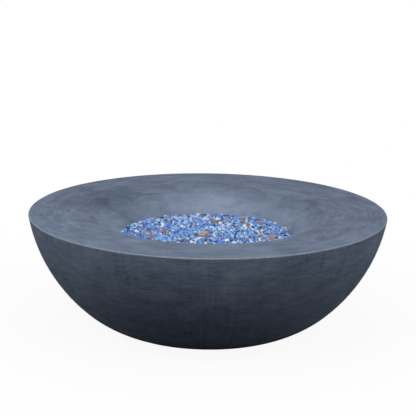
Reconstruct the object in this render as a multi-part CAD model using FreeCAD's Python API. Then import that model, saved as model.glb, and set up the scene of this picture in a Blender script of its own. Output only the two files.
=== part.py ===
"""Gas fire bowl: a hollow cast-concrete bowl with a crater top, a drop-in burner pan filled with
fire glass, and the valve, igniter and gas line inside it. Millimetres, +Z up, and the origin lies
under the middle of the base."""

import FreeCAD
import Part
import math
import os
import random
from FreeCAD import Vector

# Overall sizes of the casting
RIM_RADIUS = 533.5
OVERALL_HEIGHT = 348.0
FOOT_HEIGHT = 6.0
WALL = 15.0
DECK = 18.0
BASE_RING = 18.0
RIM_ARRIS = 4.0
BASE_ARRIS = 3.0
INSIDE_FILLET = 14.0

# Outside of the bowl: two arcs that meet at a tangent, set by how far the wall faces below level
# at the rim, where they meet, and at the base
BASE_SHARE = 0.5184
RIM_LEAN = 9.5
ARC_JOIN = 48.0
BASE_LEAN = 68.7

# Crater in the deck: a flat ring, then one arc that falls to the burner
LIP_START = 416.0
LIP_RADIUS = 230.0
LIP_FALL = 46.0

# Underside of the casting
BASE_PLATE_RADIUS = 212.0
BASE_LEDGE = 24.0
BASE_PLATE = 2.0
BASE_REBATE = 2.5
BASE_SCREWS = 6
VENT_SLOTS = 12
VENT_WIDTH = 8.0
VENT_INNER = 84.0
VENT_OUTER = 156.0
FEET = 6
FOOT_RADIUS = 17.0
FOOT_CIRCLE = 242.0

# Burner pan, which drops into a rebate
PAN_RADIUS = 216.0
PAN_FLANGE = 241.3
PAN_SHEET = 1.5
PAN_DEPTH = 57.0
PAN_BEND = 5.0
PAN_CLEARANCE = 3.2
SEAT_THICKNESS = 20.0
REBATE_DEPTH = 6.0
DRAIN_RADIUS = 3.0
OUTER_DRAINS = 12
OUTER_DRAIN_SHARE = 0.88
INNER_DRAINS = 6
INNER_DRAIN_SHARE = 0.42

# Burner: a ring of tube with one cross tube through a hub
RING_RADIUS = 143.0
RING_TUBE = 9.5
CROSS_TUBE = 8.0
TUBE_WALL = 1.2
RING_HEIGHT = 22.0
HUB_RADIUS = 20.0
HUB_ABOVE = 12.0
HUB_BELOW = 13.0
RING_PORTS = 36
CROSS_PORTS = 3
PORT_RADIUS = 1.3
NIPPLE_RADIUS = 8.5
NIPPLE_BORE = 6.0
NIPPLE_LENGTH = 44.0
NIPPLE_BELOW = 24.0
LOCKNUT_FLATS = 28.0
LOCKNUT = 5.0
THREAD_GAP = 0.1

# Gas line under the pan
ELBOW_RADIUS = 12.0
ELBOW_DROP = 33.0
ELBOW_REACH = 32.0
SOCKET_DEPTH = 14.0
MIXER_RADIUS = 10.0
MIXER_COLLAR = 12.0
MIXER_TAIL = 18.0
MIXER_LENGTH = 42.0
MIXER_HEX = 10.0
AIR_WINDOWS = 4
AIR_WINDOW_WIDTH = 6.0
AIR_WINDOW_LENGTH = 12.0
SHUTTER_LENGTH = 22.0
SHUTTER_WALL = 1.8
RUNNING_GAP = 0.1
ORIFICE_LENGTH = 8.0
ORIFICE_JET = 0.8
HOSE_RADIUS = 7.0
HOSE_WALL = 2.2
INLET_TUBE_RADIUS = 5.0
SPIGOT = 12.0
LINE_NUT = 22.0
LINE_NUT_WALL = 3.6
END_GAP = 0.3

# Control panel in its pocket on the far side
PANEL_DOWN = 28.0
POCKET_DEPTH = 12.0
PANEL_WIDTH = 140.0
PANEL_HEIGHT = 64.0
PANEL = 2.0
PANEL_CORNER = 9.0
POCKET_GAP = 1.5
BOSS_MARGIN = 16.0
BOSS_DEPTH = 14.0
WINDOW_WIDTH = 106.0
WINDOW_HEIGHT = 47.0
WINDOW_SHIFT = -3.0
PANEL_SCREW_X = 62.0
PANEL_SCREW_Y = 24.0
SCREW_RADIUS = 2.0
SCREW_HEAD = 4.0
SCREW_HEAD_HEIGHT = 2.6
SCREW_LENGTH = 10.0
SCREW_SOCKET = 2.5
SCREW_GAP = 0.25
INSERT_RADIUS = 3.5
INSERT_LENGTH = 9.0
INSERT_GAP = 0.1

# Valve, its stem and the knob, along an axis square to the panel
KNOB_X = 30.0
STEM_RADIUS = 4.0
STEM_FLAT = 3.2
STEM_FRONT = 23.5
STEM_COLLAR = 7.0
COLLAR_THICKNESS = 2.0
BONNET_PLATE = 4.0
BONNET_WIDTH = 22.0
BONNET_SPAN = 43.0
BONNET_RADIUS = 11.0
BONNET_DEPTH = 18.0
BONNET_BORE = 8.5
BONNET_FACE = 3.0
VALVE_SCREW_SPACING = 32.0
VALVE_RADIUS = 15.0
VALVE_LENGTH = 42.0
PLUG_FRONT = 7.5
PLUG_BACK = 5.0
PLUG_LENGTH = 28.0
PLUG_START = 23.5
PLUG_GAP = 0.05
GAS_PORT = 2.5
INLET_PORT_AT = 40.0
SENSOR_PORT = 5.0
TONGUE_WIDTH = 9.0
TONGUE = 3.0
TONGUE_DEPTH = 7.0
TONGUE_GAP = 0.15
PUSH_TRAVEL = 3.0
KNOB_RADIUS = 22.0
KNOB_GRIP = 17.0
KNOB_BACK = 7.0
KNOB_LENGTH = 20.0
KNOB_FLUTES = 12
FLUTE_RADIUS = 3.0
DIAL_RADIUS = 27.0
DIAL = 1.4
DIAL_MARKS = 9
STEM_SPRING_WIRE = 0.9
STEM_SPRING_RADIUS = 5.8
STEM_SPRING_TURNS = 6

# Igniter, screwed through the same panel
IGNITER_X = -36.0
HOUSING_RADIUS = 10.5
HOUSING_LENGTH = 60.0
HOUSING_FLANGE = 15.0
FLANGE_THICKNESS = 3.0
NECK_RADIUS = 9.3
NECK_LENGTH = 7.0
BATTERY_BORE = 7.8
BATTERY_RADIUS = 7.1
BATTERY_LENGTH = 48.0
BATTERY_NUB = 2.75
HOUSING_FLOOR = 3.0
TERMINAL = 5.0
TERMINAL_SHEET = 0.8
CAP_RADIUS = 13.0
CAP_FRONT = 4.0
CAP_RIBS = 12
BUTTON_RADIUS = 6.0
BUTTON_FLANGE = 7.5
BUTTON_HEAD = 7.0
BUTTON_GAP = 0.2
IGNITER_NUT_FLATS = 30.0
IGNITER_NUT = 6.0
CONTACT_WIRE = 0.7

# Spark electrode and flame sensor in their hood, inside the burner ring
HOOD_X = 26.0
HOOD_Y = 106.0
HOOD_WIDTH = 34.0
HOOD_LENGTH = 28.0
HOOD_ABOVE = 5.0
HOOD_SHEET = 1.2
HOOD_TAB = 11.0
PROBE_OFFSET = 8.0
PROBE_SPACING = 14.0
ELECTRODE_RADIUS = 2.6
SENSOR_RADIUS = 2.4
PROBE_COLLAR = 1.4
PROBE_RISE = 52.0
PROBE_DROP = 10.0
TIP_RADIUS = 0.8
TIP_RISE = 9.0
HOOD_ROWS = 5
HOOD_COLUMNS = 3
HOOD_HOLE = 2.2
HOOD_PITCH_X = 9.0
HOOD_PITCH_Z = 11.0
LEAD_RADIUS = 1.6
SENSOR_LEAD_RADIUS = 1.2

# Gas inlet through the lower wall
INLET_DOWN = 50.0
INLET_FACE_DEPTH = 3.0
INLET_FACE_RADIUS = 17.0
INLET_THREAD = 9.0
INLET_FLATS = 25.0
INLET_FLANGE = 6.0
INLET_FLARE = 7.94
INLET_FLARE_LENGTH = 16.0
INLET_NOSE = 3.0
INLET_BORE = 4.0
INLET_NUT = 7.0
INLET_BOSS = 21.0
INLET_BOSS_DEPTH = 22.0
HOLE_GAP = 0.2

# Fire media
MEDIA_GAP = 0.3
BURNER_GAP = 0.6
GLASS_EDGE_DROP = 2.6
GLASS_CROWN = 7.0
CHIPS = 250
CHIP_SIZE = 10.4
CHIP_HEIGHT = 9.0
CHIP_LIFT = 0.3
ROCK_SIZE = 17.0
# Lava rocks on the glass: distance along X, distance along Y, share of the full rock size
ROCKS = (
    (-8, -66, 1.0), (192, -65, 0.85), (-190, -31, 0.55), (-164, -78, 0.7), (-127, -23, 0.75),
    (-155, 21, 0.5), (-41, 62, 0.5), (11, 150, 0.5), (57, 132, 0.6), (109, 146, 0.7), (119, 77, 0.75),
    (161, 95, 0.6), (93, 56, 0.45), (165, 18, 0.5), (155, -61, 0.55), (-221, -80, 0.45),
)

RIM = (RIM_RADIUS, OVERALL_HEIGHT)
UP = Vector(0, 0, 1)


# Section geometry, as distance from the axis and height

def fall(angle):
    """Cosine and sine of an angle given in degrees."""
    return math.cos(math.radians(angle)), math.sin(math.radians(angle))


def wall_radii():
    """Radii of the side's arc and of the lower arc, which together reach from the rim to the base."""
    rim_c, rim_s = fall(RIM_LEAN)
    join_c, join_s = fall(ARC_JOIN)
    base_c, base_s = fall(BASE_LEAN)
    inward, down = RIM_RADIUS * (1 - BASE_SHARE), OVERALL_HEIGHT - FOOT_HEIGHT
    scale = (rim_c - join_c) * (base_s - join_s) - (join_c - base_c) * (join_s - rim_s)
    side = (inward * (base_s - join_s) - down * (join_c - base_c)) / scale
    lower = (down * (rim_c - join_c) - inward * (join_s - rim_s)) / scale
    return side, lower


SIDE_RADIUS, LOWER_RADIUS = wall_radii()


def side_centre():
    c, s = fall(RIM_LEAN)
    return RIM_RADIUS - SIDE_RADIUS * c, OVERALL_HEIGHT + SIDE_RADIUS * s


def lower_centre():
    c, s = fall(ARC_JOIN)
    r, z = side_centre()
    return r + (SIDE_RADIUS - LOWER_RADIUS) * c, z - (SIDE_RADIUS - LOWER_RADIUS) * s


def wall_point(down, depth=0.0):
    """Where the wall faces this many degrees below level, at a depth under its outer face."""
    if down <= ARC_JOIN:
        centre, radius = side_centre(), SIDE_RADIUS - depth
    else:
        centre, radius = lower_centre(), LOWER_RADIUS - depth
    c, s = fall(down)
    return centre[0] + radius * c, centre[1] - radius * s


def down_at(height, depth=0.0):
    """How far below level the wall faces at a height, in degrees."""
    centre, radius = side_centre(), SIDE_RADIUS - depth
    if height < wall_point(ARC_JOIN, depth)[1]:
        centre, radius = lower_centre(), LOWER_RADIUS - depth
    return math.degrees(math.asin((centre[1] - height) / radius))


def lip_point(slope, depth=0.0):
    """Point of the crater's arc where it falls at this slope, at a depth under the deck."""
    c, s = fall(slope)
    return LIP_START - (LIP_RADIUS - depth) * s, OVERALL_HEIGHT - LIP_RADIUS + (LIP_RADIUS - depth) * c


def crater_height(radius):
    """Height of the crater below its arc, on the cone that runs on at the same slope."""
    r, z = lip_point(LIP_FALL)
    return z - (r - radius) * math.tan(math.radians(LIP_FALL))


REBATE_RADIUS = PAN_FLANGE + PAN_CLEARANCE
SEAT_Z = crater_height(REBATE_RADIUS) - REBATE_DEPTH
PAN_OPENING = PAN_RADIUS + PAN_CLEARANCE
BASE_OPENING = BASE_PLATE_RADIUS - BASE_LEDGE
BASE_SCREW_CIRCLE = BASE_PLATE_RADIUS - BASE_LEDGE / 2
FLANGE_TOP = SEAT_Z + PAN_SHEET
PAN_FLOOR = FLANGE_TOP - PAN_DEPTH + PAN_SHEET
PAN_UNDER = PAN_FLOOR - PAN_SHEET
RING_Z = PAN_FLOOR + RING_HEIGHT
GAS_Z = PAN_UNDER - ELBOW_DROP
GLASS_EDGE = lip_point(LIP_FALL)[0] - GLASS_EDGE_DROP
GLASS_EDGE_Z = crater_height(GLASS_EDGE) + 1.0
GLASS_TOP = GLASS_EDGE_Z + GLASS_CROWN
HOOD_TOP = GLASS_TOP + HOOD_ABOVE
DOME_RADIUS = (GLASS_EDGE ** 2 + GLASS_CROWN ** 2) / (2 * GLASS_CROWN)


class Section:
    """A closed outline in the plane of the axis, drawn point to point and then turned about it."""

    def __init__(self, r, z):
        self.start = self.at = Vector(r, 0, z)
        self.edges = []

    def line(self, r, z):
        to = Vector(r, 0, z)
        if to.distanceToPoint(self.at) > 1e-6:
            self.edges.append(Part.makeLine(self.at, to))
            self.at = to
        return self

    def arc(self, middle, end):
        via, to = Vector(middle[0], 0, middle[1]), Vector(end[0], 0, end[1])
        self.edges.append(Part.Arc(self.at, via, to).toShape())
        self.at = to
        return self

    def turned(self):
        self.line(self.start.x, self.start.z)
        return Part.Face(Part.Wire(self.edges)).revolve(Vector(0, 0, 0), UP, 360)


# Simple shapes along +Z

def rod(radius, low, high, x=0.0, y=0.0):
    return Part.makeCylinder(radius, high - low, Vector(x, y, low))


def pipe(outer, inner, low, high):
    return rod(outer, low, high).cut(rod(inner, low - 1, high + 1))


def prism(sides, flats, low, high):
    corner = flats / 2 / math.cos(math.pi / sides)
    turn = [2 * math.pi * i / sides for i in range(sides + 1)]
    points = [Vector(corner * math.cos(a), corner * math.sin(a), low) for a in turn]
    return Part.Face(Part.makePolygon(points)).extrude(Vector(0, 0, high - low))


def plate(width, height, corner, low, high, x=0.0):
    block = Part.makeBox(width, height, high - low, Vector(x - width / 2, -height / 2, low))
    upright = [e for e in block.Edges if e.BoundBox.ZLength > (high - low) * 0.9]
    return block.makeFillet(corner, upright)


def slot(length, width, low, high):
    """A block with round ends, along X."""
    half = (length - width) / 2
    middle = Part.makeBox(2 * half, width, high - low, Vector(-half, -width / 2, low))
    return middle.fuse([rod(width / 2, low, high, half), rod(width / 2, low, high, -half)]).removeSplitter()


def around(shape, count, first=0.0):
    """Copies of a shape, evenly spaced about the axis."""
    return [turned_copy(shape, first + 360.0 * i / count) for i in range(count)]


def turned_copy(shape, angle):
    copy = shape.copy()
    copy.rotate(Vector(0, 0, 0), UP, angle)
    return copy


def moved(shape, x=0.0, y=0.0, z=0.0):
    copy = shape.copy()
    copy.translate(Vector(x, y, z))
    return copy


def upside_down(shape):
    return shape.mirror(Vector(0, 0, 0), UP)


def rim_edges(shape, radius, height):
    """The round edges of a turned shape at one radius and height."""
    return [
        e for e in shape.Edges
        if abs(e.BoundBox.ZMin - height) < 1e-3 and abs(e.BoundBox.ZMax - height) < 1e-3
        and abs(e.BoundBox.XMax - radius) < 1e-2
    ]


def screw(length=SCREW_LENGTH):
    """Socket screw: its head stands on z = 0 and its shank runs down."""
    head = rod(SCREW_HEAD, 0, SCREW_HEAD_HEIGHT)
    head = head.makeFillet(SCREW_HEAD_HEIGHT * 0.4, rim_edges(head, SCREW_HEAD, SCREW_HEAD_HEIGHT))
    socket = prism(6, SCREW_SOCKET, SCREW_HEAD_HEIGHT * 0.4, SCREW_HEAD_HEIGHT + 1)
    return head.fuse(rod(SCREW_RADIUS, -length, 0)).cut(socket)


def insert():
    """Threaded insert: flush with z = 0, set into the casting below it."""
    return pipe(INSERT_RADIUS, SCREW_RADIUS + INSERT_GAP, -INSERT_LENGTH, 0)


def insert_hole():
    return rod(INSERT_RADIUS + INSERT_GAP, -INSERT_LENGTH - 1.5, 1)


def coil(radius, wire, turns, low, high):
    """A helical spring with its wire's middle between the two heights, from quarter turns of two arcs."""
    pitch = (high - low - 2 * wire) / turns
    climb = pitch / (2 * math.pi)
    stops = []
    for i in range(4 * turns + 1):
        c, s = fall(90 * i)
        stops.append((Vector(radius * c, radius * s, low + wire + pitch * i / 4),
                      Vector(-radius * s, radius * c, climb).normalize()))
    edges = [edge for start, end in zip(stops, stops[1:]) for edge in two_arcs(*start, *end)]
    ring = Part.Wire(Part.makeCircle(wire / 2, *stops[0]))
    return Part.Wire(edges).makePipeShell([ring], True, False)


def two_arcs(start, away, end, arriving):
    """Two arcs that meet at a tangent, from one point and direction to another."""
    gap, both = end - start, away + arriving
    a, b, c = 2 * (away.dot(arriving) - 1), -2 * gap.dot(both), gap.dot(gap)
    reach = (-b - math.sqrt(b * b - 4 * a * c)) / (2 * a)
    first, second = start + away * reach, end - arriving * reach
    join = (first + second) / 2
    return [arc_by_corner(start, first, join), arc_by_corner(join, second, end)]


def arc_by_corner(start, corner, end):
    """The arc between two points whose tangents meet at a corner."""
    chord = (start + end) / 2
    half = (end - start).Length / 2
    bulge = half * math.tan(math.atan2((corner - chord).Length, half) / 2)
    return Part.Arc(start, chord + (corner - chord).normalize() * bulge, end).toShape()


def placed(shape, x_axis, y_axis, z_axis, origin):
    """A copy whose own axes lie along the three given ones."""
    matrix = FreeCAD.Matrix(
        x_axis.x, y_axis.x, z_axis.x, origin.x,
        x_axis.y, y_axis.y, z_axis.y, origin.y,
        x_axis.z, y_axis.z, z_axis.z, origin.z,
        0, 0, 0, 1)
    copy = shape.copy()
    copy.Placement = FreeCAD.Placement(matrix).multiply(copy.Placement)
    return copy


def on_wall(shape, down, depth):
    """Stands a shape on the far wall: its +Z points out of the wall, and its +Y up the wall."""
    c, s = fall(down)
    r, z = wall_point(down, depth)
    return placed(shape, Vector(-1, 0, 0), Vector(0, s, c), Vector(0, c, -s), Vector(0, r, z))


def on_panel(shape, x=0.0, y=0.0):
    """From the control panel's own frame, whose z = 0 is the seat under the panel."""
    return on_wall(moved(shape, x, y), PANEL_DOWN, POCKET_DEPTH)


def on_inlet(shape):
    """From the gas inlet's frame, whose z = 0 is the wall's outer face."""
    return on_wall(shape, INLET_DOWN, 0.0)


def along_gas_line(shape):
    """Lays a shape made along +Z onto the gas line under the pan, which runs along +Y."""
    return placed(shape, Vector(1, 0, 0), Vector(0, 0, -1), Vector(0, 1, 0), Vector(0, 0, GAS_Z))


def spot(place, x, y, z):
    """Where a point of one of those frames lies."""
    return place(Part.Vertex(x, y, z)).Point


# The casting and what closes it below

def control_pocket():
    """What is cut for the control panel, and the inner boss that keeps the wall's thickness."""
    pocket = plate(PANEL_WIDTH + 2 * POCKET_GAP, PANEL_HEIGHT + 2 * POCKET_GAP,
                   PANEL_CORNER + POCKET_GAP, 0, 4 * POCKET_DEPTH)
    window = plate(WINDOW_WIDTH, WINDOW_HEIGHT, PANEL_CORNER, -2 * BOSS_DEPTH, 1, WINDOW_SHIFT)
    holes = [moved(insert_hole(), x, y) for x, y in panel_screw_spots()]
    boss = plate(PANEL_WIDTH + 2 * BOSS_MARGIN, PANEL_HEIGHT + 2 * BOSS_MARGIN, 2 * PANEL_CORNER,
                 -BOSS_DEPTH, 2)
    return on_panel(boss), [on_panel(s) for s in [pocket, window] + holes]


def panel_screw_spots():
    return [(x, y) for x in (-PANEL_SCREW_X, PANEL_SCREW_X) for y in (-PANEL_SCREW_Y, PANEL_SCREW_Y)]


def inlet_hole():
    """What is cut for the gas inlet, and the inner boss that its nut draws up to."""
    face = rod(INLET_FACE_RADIUS, -INLET_FACE_DEPTH, 3 * INLET_FACE_RADIUS)
    hole = rod(INLET_THREAD + HOLE_GAP, -2 * INLET_BOSS_DEPTH, 1)
    boss = rod(INLET_BOSS, -INLET_BOSS_DEPTH, -WALL * 0.6)
    return on_inlet(boss), [on_inlet(face), on_inlet(hole)]


def bowl_shell():
    """The casting: a hollow bowl, its deck and its crater in one piece, open below."""
    base_z = FOOT_HEIGHT
    floor_z = base_z + BASE_RING
    foot_down = BASE_LEAN
    inner_down = down_at(floor_z, WALL)
    roof_z = OVERALL_HEIGHT - DECK
    roof_down = down_at(roof_z, WALL)
    seat_under = SEAT_Z - SEAT_THICKNESS
    r_low, z_low = lip_point(LIP_FALL, DECK)
    chamfer_r = r_low - (z_low - seat_under) / math.tan(math.radians(LIP_FALL))
    body = Section(*RIM)
    body.arc(wall_point((RIM_LEAN + ARC_JOIN) / 2), wall_point(ARC_JOIN))
    body.arc(wall_point((ARC_JOIN + foot_down) / 2), wall_point(foot_down))
    body.line(BASE_PLATE_RADIUS + PAN_CLEARANCE / 2, base_z)
    body.line(BASE_PLATE_RADIUS + PAN_CLEARANCE / 2, base_z + BASE_REBATE)
    body.line(BASE_OPENING, base_z + BASE_REBATE).line(BASE_OPENING, floor_z)
    body.line(*wall_point(inner_down, WALL))
    body.arc(wall_point((ARC_JOIN + inner_down) / 2, WALL), lower_inner_join())
    body.arc(side_inner((ARC_JOIN + roof_down) / 2), wall_point(roof_down, WALL))
    body.line(LIP_START, roof_z)
    body.arc(lip_point(LIP_FALL / 2, DECK), (r_low, z_low))
    body.line(chamfer_r, seat_under).line(PAN_OPENING, seat_under).line(PAN_OPENING, SEAT_Z)
    body.line(REBATE_RADIUS, SEAT_Z).line(REBATE_RADIUS, crater_height(REBATE_RADIUS))
    body.line(*lip_point(LIP_FALL))
    body.arc(lip_point(LIP_FALL / 2), (LIP_START, OVERALL_HEIGHT))
    shell = body.turned()
    shell = shell.makeFillet(RIM_ARRIS, rim_edges(shell, *RIM))
    shell = shell.makeFillet(BASE_ARRIS, rim_edges(shell, wall_point(foot_down)[0], base_z))
    shell = shell.makeFillet(INSIDE_FILLET, rim_edges(shell, *wall_point(roof_down, WALL)))
    panel_boss, panel_cuts = control_pocket()
    inlet_boss, inlet_cuts = inlet_hole()
    base_hole = moved(upside_down(insert_hole()), BASE_SCREW_CIRCLE, 0, base_z + BASE_REBATE)
    return shell.fuse([panel_boss, inlet_boss]).cut(panel_cuts + inlet_cuts + around(base_hole, BASE_SCREWS))


def lower_inner_join():
    c, s = fall(ARC_JOIN)
    r, z = lower_centre()
    return r + (LOWER_RADIUS - WALL) * c, z - (LOWER_RADIUS - WALL) * s


def side_inner(down):
    return wall_point(down, WALL)


def base_plate():
    """Vented steel plate that closes the opening under the bowl."""
    low = FOOT_HEIGHT + BASE_REBATE - BASE_PLATE
    vent = slot(VENT_OUTER - VENT_INNER, VENT_WIDTH, low - 1, low + BASE_PLATE + 1)
    vent = moved(vent, (VENT_OUTER + VENT_INNER) / 2)
    hole = rod(SCREW_RADIUS + SCREW_GAP, low - 1, low + BASE_PLATE + 1, BASE_SCREW_CIRCLE)
    return rod(BASE_PLATE_RADIUS, low, low + BASE_PLATE).cut(
        around(vent, VENT_SLOTS, 180 / VENT_SLOTS) + around(hole, BASE_SCREWS))


def base_plate_screws():
    one = moved(upside_down(screw()), BASE_SCREW_CIRCLE, 0, FOOT_HEIGHT + BASE_REBATE - BASE_PLATE)
    return around(one, BASE_SCREWS)


def base_inserts():
    one = moved(upside_down(insert()), BASE_SCREW_CIRCLE, 0, FOOT_HEIGHT + BASE_REBATE)
    return around(one, BASE_SCREWS)


def base_feet():
    foot = rod(FOOT_RADIUS, 0, FOOT_HEIGHT)
    foot = foot.makeFillet(FOOT_HEIGHT / 4, rim_edges(foot, FOOT_RADIUS, 0))
    return around(moved(foot, FOOT_CIRCLE), FEET, 180 / FEET)


# Burner pan and burner

def burner_pan():
    """Drop-in pan, turned from sheet, with drain holes and holes for the gas nipple and the two probes."""
    inner = PAN_RADIUS - PAN_SHEET
    bend_in = PAN_BEND - PAN_SHEET
    c, s = fall(45)
    pan = Section(0, PAN_UNDER).line(PAN_RADIUS - PAN_BEND, PAN_UNDER)
    pan.arc((PAN_RADIUS - PAN_BEND + PAN_BEND * s, PAN_UNDER + PAN_BEND - PAN_BEND * c),
            (PAN_RADIUS, PAN_UNDER + PAN_BEND))
    pan.line(PAN_RADIUS, SEAT_Z).line(PAN_FLANGE, SEAT_Z).line(PAN_FLANGE, FLANGE_TOP)
    pan.line(inner + bend_in, FLANGE_TOP)
    pan.arc((inner + bend_in * (1 - s), FLANGE_TOP - bend_in * (1 - c)), (inner, FLANGE_TOP - bend_in))
    pan.line(inner, PAN_FLOOR + bend_in)
    pan.arc((inner - bend_in * (1 - s), PAN_FLOOR + bend_in * (1 - c)), (inner - bend_in, PAN_FLOOR))
    pan.line(0, PAN_FLOOR)
    low, high = PAN_UNDER - 1, PAN_FLOOR + 1
    holes = [rod(NIPPLE_RADIUS + THREAD_GAP, low, high)]
    for count, share in ((OUTER_DRAINS, OUTER_DRAIN_SHARE), (INNER_DRAINS, INNER_DRAIN_SHARE)):
        holes += around(rod(DRAIN_RADIUS, low, high, PAN_RADIUS * share), count, 180 / count)
    holes += [rod(r + HOLE_GAP, low, high, x, y) for x, y, r in probe_spots()]
    holes += [rod(SCREW_RADIUS + SCREW_GAP, low, high, x, HOOD_Y) for x in hood_screw_spots()]
    return pan.turned().cut(holes)


def burner_tubes(grow=0.0, bore=False):
    """Outside of the ring, the cross tube and the hub, or the gas passage inside them."""
    less = TUBE_WALL if bore else -grow
    ring = Part.makeTorus(RING_RADIUS, RING_TUBE - less)
    cross = rod(CROSS_TUBE - less, -RING_RADIUS, RING_RADIUS)
    cross.rotate(Vector(0, 0, 0), Vector(0, 1, 0), 90)
    hub = rod(HUB_RADIUS - less, -HUB_BELOW + less, HUB_ABOVE - less)
    return moved(ring.fuse([cross, hub]), 0, 0, RING_Z)


def burner_ring():
    """Stainless ring burner: hollow, with gas ports along the top of the ring and of the cross tube."""
    port = rod(PORT_RADIUS, RING_Z + CROSS_TUBE / 2, RING_Z + RING_TUBE + 1)
    ports = around(moved(port, RING_RADIUS), RING_PORTS, 180 / RING_PORTS)
    gap = (RING_RADIUS - RING_TUBE - HUB_RADIUS) / (CROSS_PORTS + 1)
    for side in (-1, 1):
        ports += [moved(port, side * (HUB_RADIUS + gap * (i + 1))) for i in range(CROSS_PORTS)]
    socket = rod(NIPPLE_RADIUS + THREAD_GAP, RING_Z - HUB_BELOW - 1, RING_Z)
    return burner_tubes().cut(burner_tubes(bore=True)).cut(ports + [socket])


def burner_nipple():
    low = PAN_UNDER - NIPPLE_BELOW
    return pipe(NIPPLE_RADIUS, NIPPLE_BORE, low, low + NIPPLE_LENGTH)


def burner_locknuts():
    """Two nuts on the nipple, one on each side of the pan's floor."""
    bore = rod(NIPPLE_RADIUS + THREAD_GAP, PAN_UNDER - 2 * LOCKNUT, PAN_FLOOR + 2 * LOCKNUT)
    nuts = [prism(6, LOCKNUT_FLATS, PAN_FLOOR, PAN_FLOOR + LOCKNUT),
            prism(6, LOCKNUT_FLATS, PAN_UNDER - LOCKNUT, PAN_UNDER)]
    return [n.cut(bore) for n in nuts]


# Gas line

def gas_elbow():
    """Brass elbow that turns the supply up into the nipple."""
    low = GAS_Z
    top = PAN_UNDER - NIPPLE_BELOW + SOCKET_DEPTH
    upright = rod(ELBOW_RADIUS, low, top).fuse(Part.makeSphere(ELBOW_RADIUS, Vector(0, 0, low)))
    body = upright.fuse(along_gas_line(rod(ELBOW_RADIUS, 0, ELBOW_REACH)))
    thread = NIPPLE_RADIUS + THREAD_GAP
    upright_socket = rod(thread, top - SOCKET_DEPTH, top + 1)
    level_socket = along_gas_line(rod(thread, ELBOW_REACH - SOCKET_DEPTH, ELBOW_REACH + 1))
    passage = rod(NIPPLE_BORE, low, top).fuse(Part.makeSphere(NIPPLE_BORE, Vector(0, 0, low)))
    passage = passage.fuse(along_gas_line(rod(NIPPLE_BORE, 0, ELBOW_REACH)))
    return body.cut([upright_socket, level_socket, passage])


MIXER_START = ELBOW_REACH + 4.0
SHUTTER_START = MIXER_START + 6.0
MIXER_END = MIXER_START + MIXER_LENGTH
GAS_LINE_END = MIXER_END + MIXER_HEX + SPIGOT


def air_windows(radius):
    """Cutters for the air windows, through a tube's wall out to a radius."""
    middle = SHUTTER_START + SHUTTER_LENGTH / 2
    window = Part.makeBox(radius, AIR_WINDOW_WIDTH, AIR_WINDOW_LENGTH,
                          Vector(0, -AIR_WINDOW_WIDTH / 2, middle - AIR_WINDOW_LENGTH / 2))
    return around(window, AIR_WINDOWS, 180 / AIR_WINDOWS)


def air_mixer():
    """Brass mixing tube: gas enters at the far end, and air through four windows."""
    body = rod(NIPPLE_RADIUS, ELBOW_REACH - SOCKET_DEPTH, MIXER_START)
    body = body.fuse([
        rod(MIXER_RADIUS, MIXER_START, MIXER_END),
        rod(MIXER_COLLAR, MIXER_START, SHUTTER_START - END_GAP),
        rod(MIXER_COLLAR, SHUTTER_START + SHUTTER_LENGTH + END_GAP, MIXER_END),
        prism(6, 2 * MIXER_COLLAR, MIXER_END, MIXER_END + MIXER_HEX),
        rod(HOSE_RADIUS, MIXER_END + MIXER_HEX, GAS_LINE_END)])
    bores = [rod(NIPPLE_BORE, 0, MIXER_END), rod(NIPPLE_BORE / 2, 0, GAS_LINE_END + 1)]
    return along_gas_line(body.cut(bores + air_windows(MIXER_RADIUS + 1)))


def air_shutter():
    """Sleeve that turns on the mixer to close its windows."""
    inner = MIXER_RADIUS + RUNNING_GAP
    sleeve = pipe(inner + SHUTTER_WALL, inner, SHUTTER_START, SHUTTER_START + SHUTTER_LENGTH)
    return along_gas_line(sleeve.cut(air_windows(inner + SHUTTER_WALL + 1)))


def gas_orifice():
    high = MIXER_END
    return along_gas_line(pipe(NIPPLE_BORE - THREAD_GAP / 2, ORIFICE_JET, high - ORIFICE_LENGTH, high))


def on_the_way(start, end, share, aside, above):
    """A point beside the straight way between two ends: its share of the way, how far aside and above."""
    way = start + (end - start) * share
    return Vector(start.x + aside, way.y, way.z + above)


def rounded_route(points):
    """A wire of straight runs, each pair joined by an arc as large as the two runs allow."""
    edges, at, radii = [], points[0], []
    for before, corner, after in zip(points, points[1:], points[2:]):
        back, on = (before - corner), (after - corner)
        run = 0.45 * min(back.Length, on.Length)
        back, on = back.normalize(), on.normalize()
        start, end = corner + back * run, corner + on * run
        half = back.getAngle(on) / 2
        radii.append(run * math.tan(half))
        middle = corner + (back + on).normalize() * (run / math.cos(half) - radii[-1])
        edges += [Part.makeLine(at, start), Part.Arc(start, middle, end).toShape()]
        at = end
    edges.append(Part.makeLine(at, points[-1]))
    print("bend radii", [round(radius) for radius in radii])
    return Part.Wire(edges)


def tube_along(points, radius, bore=0.0):
    path = rounded_route(points)
    first = (points[1] - points[0]).normalize()
    solids = [
        path.makePipeShell([Part.Wire(Part.makeCircle(r, points[0], first))], True, False)
        for r in (radius, bore) if r > 0]
    return solids[0] if bore <= 0 else solids[0].cut(solids[1])


VALVE_BACK = -(BONNET_DEPTH + VALVE_LENGTH)
VALVE_OUTLET = VALVE_BACK - SPIGOT
VALVE_BRANCH = VALVE_RADIUS + SPIGOT
INLET_TAIL = 12.0
INLET_INNER = -(INLET_BOSS_DEPTH + INLET_TAIL)
HOSE_STRAIGHT = 50.0
TUBE_STRAIGHT = 33.0
# Points of each route: its share of the way, how far aside of the start, how far above the straight way.
# The hook's points: how far beside the valve's port, and how much deeper than it
HOSE_ROUTE = ((0.41, -7, -16), (0.575, -15, 1), (0.73, -21, 15), (0.865, -27, 14))
TUBE_ROUTE = ((0.1, -9, 23), (0.45, -22, 19.5))


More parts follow.
